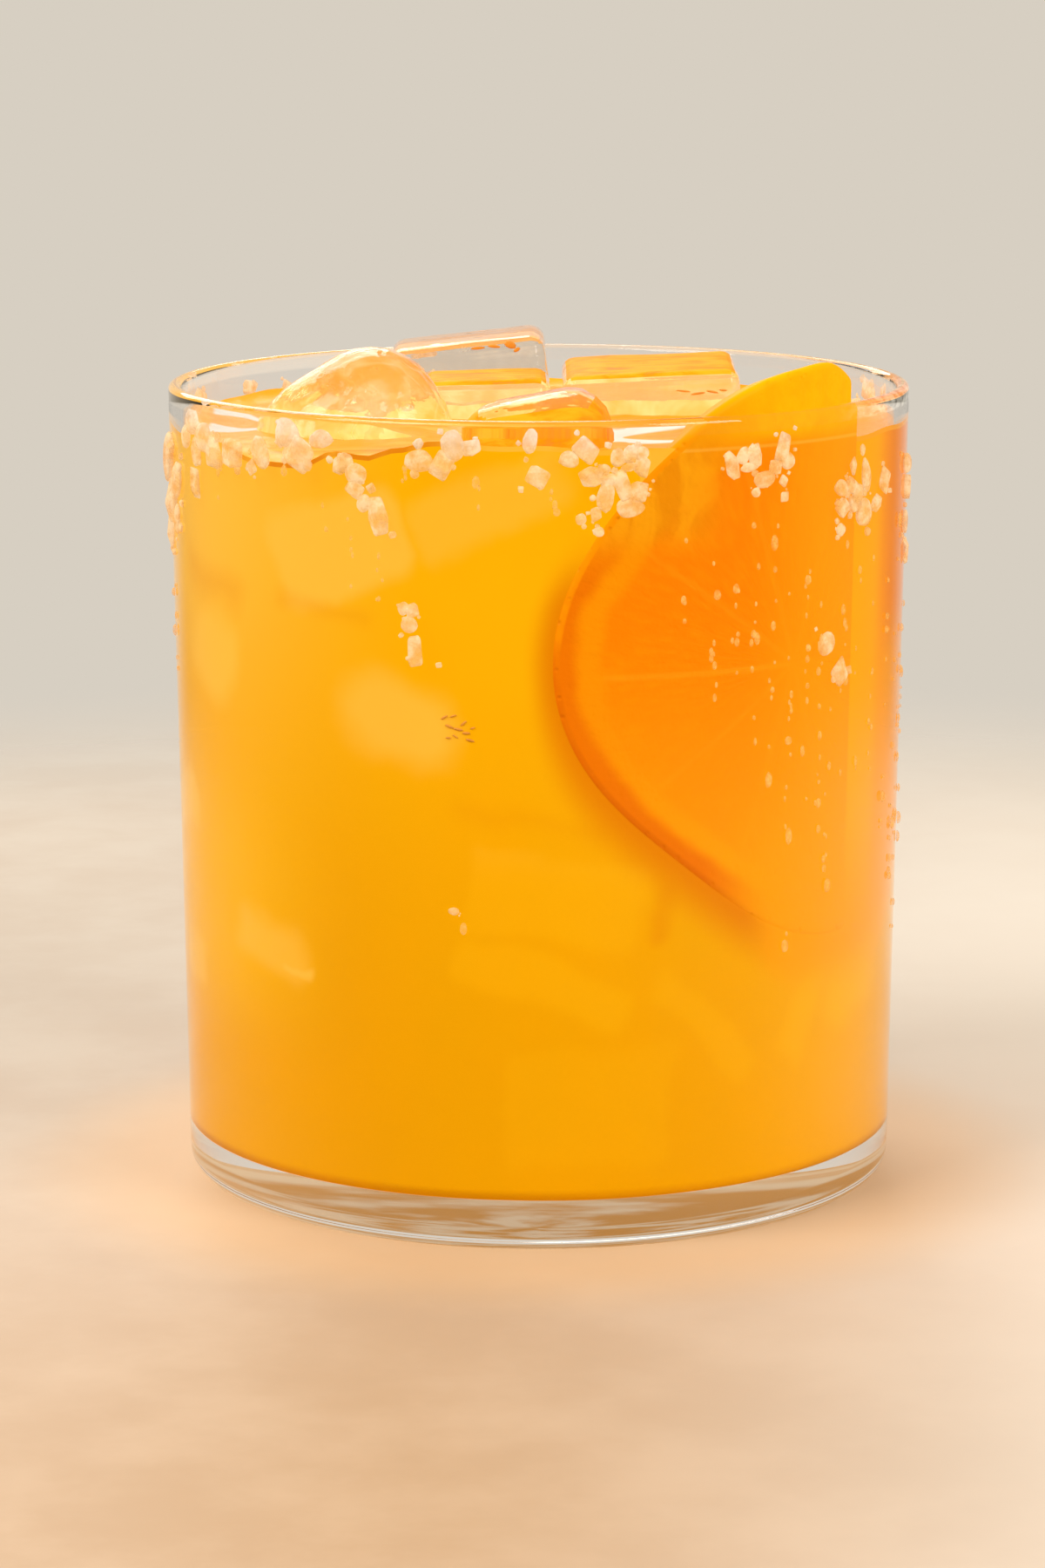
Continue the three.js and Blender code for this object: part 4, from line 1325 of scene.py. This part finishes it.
def scatter(kinds, places, name, finish, slot, *nodes):
    """Copies of the kinds at the given matrices, as one piece; the kinds themselves are removed."""
    shape = bmesh.new()
    for count, place in enumerate(places):
        start_at = len(shape.verts)
        shape.from_mesh(kinds[count % len(kinds)].data)
        shape.verts.ensure_lookup_table()
        bmesh.ops.transform(shape, matrix=place, verts=shape.verts[start_at:])
    mesh = bpy.data.meshes.new(name)
    shape.to_mesh(mesh)
    shape.free()
    for kind in kinds:
        bpy.data.objects.remove(kind)
    piece = bpy.data.objects.new(name, mesh)
    bpy.context.scene.collection.objects.link(piece)
    finish_piece(piece, name, [finish], slot, *nodes)


def on_outside(azimuth, height, size, stretch, turns=(0, 0, 0)):
    """The place of a crystal or bead that is sunk a little into the outside of the wall."""
    proud = size * stretch[1] * (0.5 - SALT_SUNK_SHARE)
    spot = on_wall(math.radians(azimuth), outer_radius(height) + proud, height)
    tumble = Matrix.Rotation(turns[1], 4, "Z") @ Matrix.Rotation(turns[0], 4, "X")
    scale = Matrix.Diagonal((size * stretch[0], size * stretch[1], size * stretch[2], 1))
    lie = turned(azimuth, "Z") @ Matrix.Rotation(turns[2], 4, "Y")
    return Matrix.Translation(spot) @ lie @ scale @ tumble


def grain_places():
    """The front's single crystals, then the frame's further round, each with small ones beside it."""
    beside = make_draw(SALT_SEED + 1)
    highest = GLASS_HEIGHT - SALT_BELOW_RIM
    places = []

    def add_small(azimuth, height, size, count, spread):
        for _ in range(count):
            near = azimuth + math.degrees(spread / RIM_RADIUS) * (beside() - 0.5) * 2
            level = min(height + spread * (beside() - 0.5) * 2, highest)
            turns = [2 * math.pi * beside() for _ in range(3)]
            places.append(on_outside(near, level, size * (0.2 + 0.3 * beside()), SMALL_GRAIN, turns))

    for azimuth, height, width, length, tilt in FRONT_CRYSTALS:
        stretch = (width * CRYSTAL_SPREAD, 0.5 * min(width, length), length * CRYSTAL_SPREAD)
        turns = (2 * math.pi * beside(), 2 * math.pi * beside(), math.radians(tilt))
        places.append(on_outside(azimuth, min(height * MM, highest), MM, stretch, turns))
        add_small(azimuth, height * MM, min(width, length) * MM, 2, 0.7 * max(width, length) * MM)

    draw = make_draw(SALT_SEED)
    for azimuth, height, wide, tall, count, size in SALT_CLUSTERS:
        for _ in range(count):
            across = azimuth + wide * (draw() - 0.5) * 2
            along = min((height + tall * (draw() - 0.5)) * MM, highest)
            grain_size = size * MM * (SALT_SMALLEST_SHARE + (1 - SALT_SMALLEST_SHARE) * draw())
            stretch = (0.75 + 0.4 * draw(), 0.5 + 0.25 * draw(), 0.8 + 0.6 * draw())
            turns = [2 * math.pi * draw(), 2 * math.pi * draw(), math.pi * (draw() - 0.5) * 0.6]
            if abs(azimuth) > FRONT_ENDS_AT:
                places.append(on_outside(across, along, grain_size, stretch, turns))
                add_small(across, along, grain_size, 3, 1.5 * MM)
    return places


def make_salt():
    kinds = [make_grain(kind) for kind in range(GRAIN_KINDS)]
    scatter(kinds, grain_places(), "salt_crystals", coarse_salt(), "salt", "glass")


def make_beads():
    draw = make_draw(BEAD_SEED)
    places = []
    for azimuth, highest, lowest, count in BEAD_TRAILS:
        for _ in range(count):
            height = (highest + (lowest - highest) * draw()) * MM
            across = azimuth + 1.2 * (draw() - 0.5)
            size = MM * (0.35 + 0.65 * draw() ** 3)
            places.append(on_outside(across, height, size, (1, 0.8, 1 + 0.9 * draw())))
    kinds = [make_bead(kind) for kind in range(BEAD_KINDS)]
    scatter(kinds, places, "water_beads", water_beads(), "clear_glass")


def make_flecks():
    spots = []
    for azimuth, height, *rest in FLECKS:
        radius = inner_radius(height * MM) + FLECK_PROUD
        spots.append((on_wall(math.radians(azimuth), radius, height * MM), azimuth, rest))
    spots += [(Vector((x, y, z)) * MM, 0, rest) for x, y, z, *rest in ICE_FLECKS]
    places = []
    for spot, azimuth, (length, width, tilt) in spots:
        scale = Matrix.Diagonal((length * MM, FLECK_THICKNESS, width * MM, 1))
        places.append(Matrix.Translation(spot) @ turned(azimuth, "Z") @ turned(tilt, "Y") @ scale)
    scatter([make_bead(0)], places, "pulp_flecks", brown_flecks(), "orange")


# Studio

def make_floor():
    floor = add_primitive(
        bpy.ops.mesh.primitive_circle_add, vertices=96, radius=FLOOR_RADIUS, fill_type="NGON",
        location=(0, 0, -FLOOR_DROP),
    )
    floor.name = "studio_floor"
    floor.data.materials.append(pale_floor())


def make_softbox(name, place, size, power, tint):
    lamp = bpy.data.lights.new(name, "AREA")
    lamp.size = size
    lamp.energy = power
    lamp.color = tint
    box = bpy.data.objects.new(name, lamp)
    box.location = place
    box.rotation_euler = (Vector(LAMP_TARGET) - Vector(place)).to_track_quat("-Z", "Y").to_euler()
    bpy.context.scene.collection.objects.link(box)


def make_room():
    """Soft even light, brighter towards the back, and dimmer where the front of the room is mirrored."""
    world = bpy.data.worlds.new("studio")
    world.use_nodes = True
    recipe = Recipe(world.node_tree)
    towards_back = recipe.parts(recipe.add("ShaderNodeTexCoord").outputs["Generated"])[1]
    tone = recipe.fade(towards_back, -0.5, 0.3, (165, 157, 145), (215, 207, 194))
    path = recipe.add("ShaderNodeLightPath").outputs
    mirrored = recipe.math("SUBTRACT", path["Is Reflection Ray"], path["Is Diffuse Ray"], clamp=True)
    from_front = recipe.times(mirrored, recipe.ease(towards_back, 0.97, 0.8))
    tone = recipe.mix(from_front, tone, (150, 138, 118))
    recipe.fill(world.node_tree.nodes["Background"], Color=tone)
    bpy.context.scene.world = world


def make_camera():
    camera = bpy.data.objects.new("camera", bpy.data.cameras.new("camera"))
    camera.location = CAMERA_PLACE
    camera.rotation_euler = (math.pi / 2 - CAMERA_DIP, CAMERA_ROLL, 0)
    camera.data.lens = CAMERA_LENS
    camera.data.sensor_width = CAMERA_SENSOR
    bpy.context.scene.collection.objects.link(camera)
    bpy.context.scene.camera = camera
    bpy.context.scene.view_settings.view_transform = "Standard"


make_camera()
make_floor()
make_room()
for softbox in SOFTBOXES:
    make_softbox(*softbox)
make_sunk_cube_group()
make_wheel_map_group()
make_melted_surface_group()
make_tumbler()
make_drink()
make_wheel_flesh()
make_wheel_peel()
make_ice()
make_salt()
make_beads()
make_flecks()
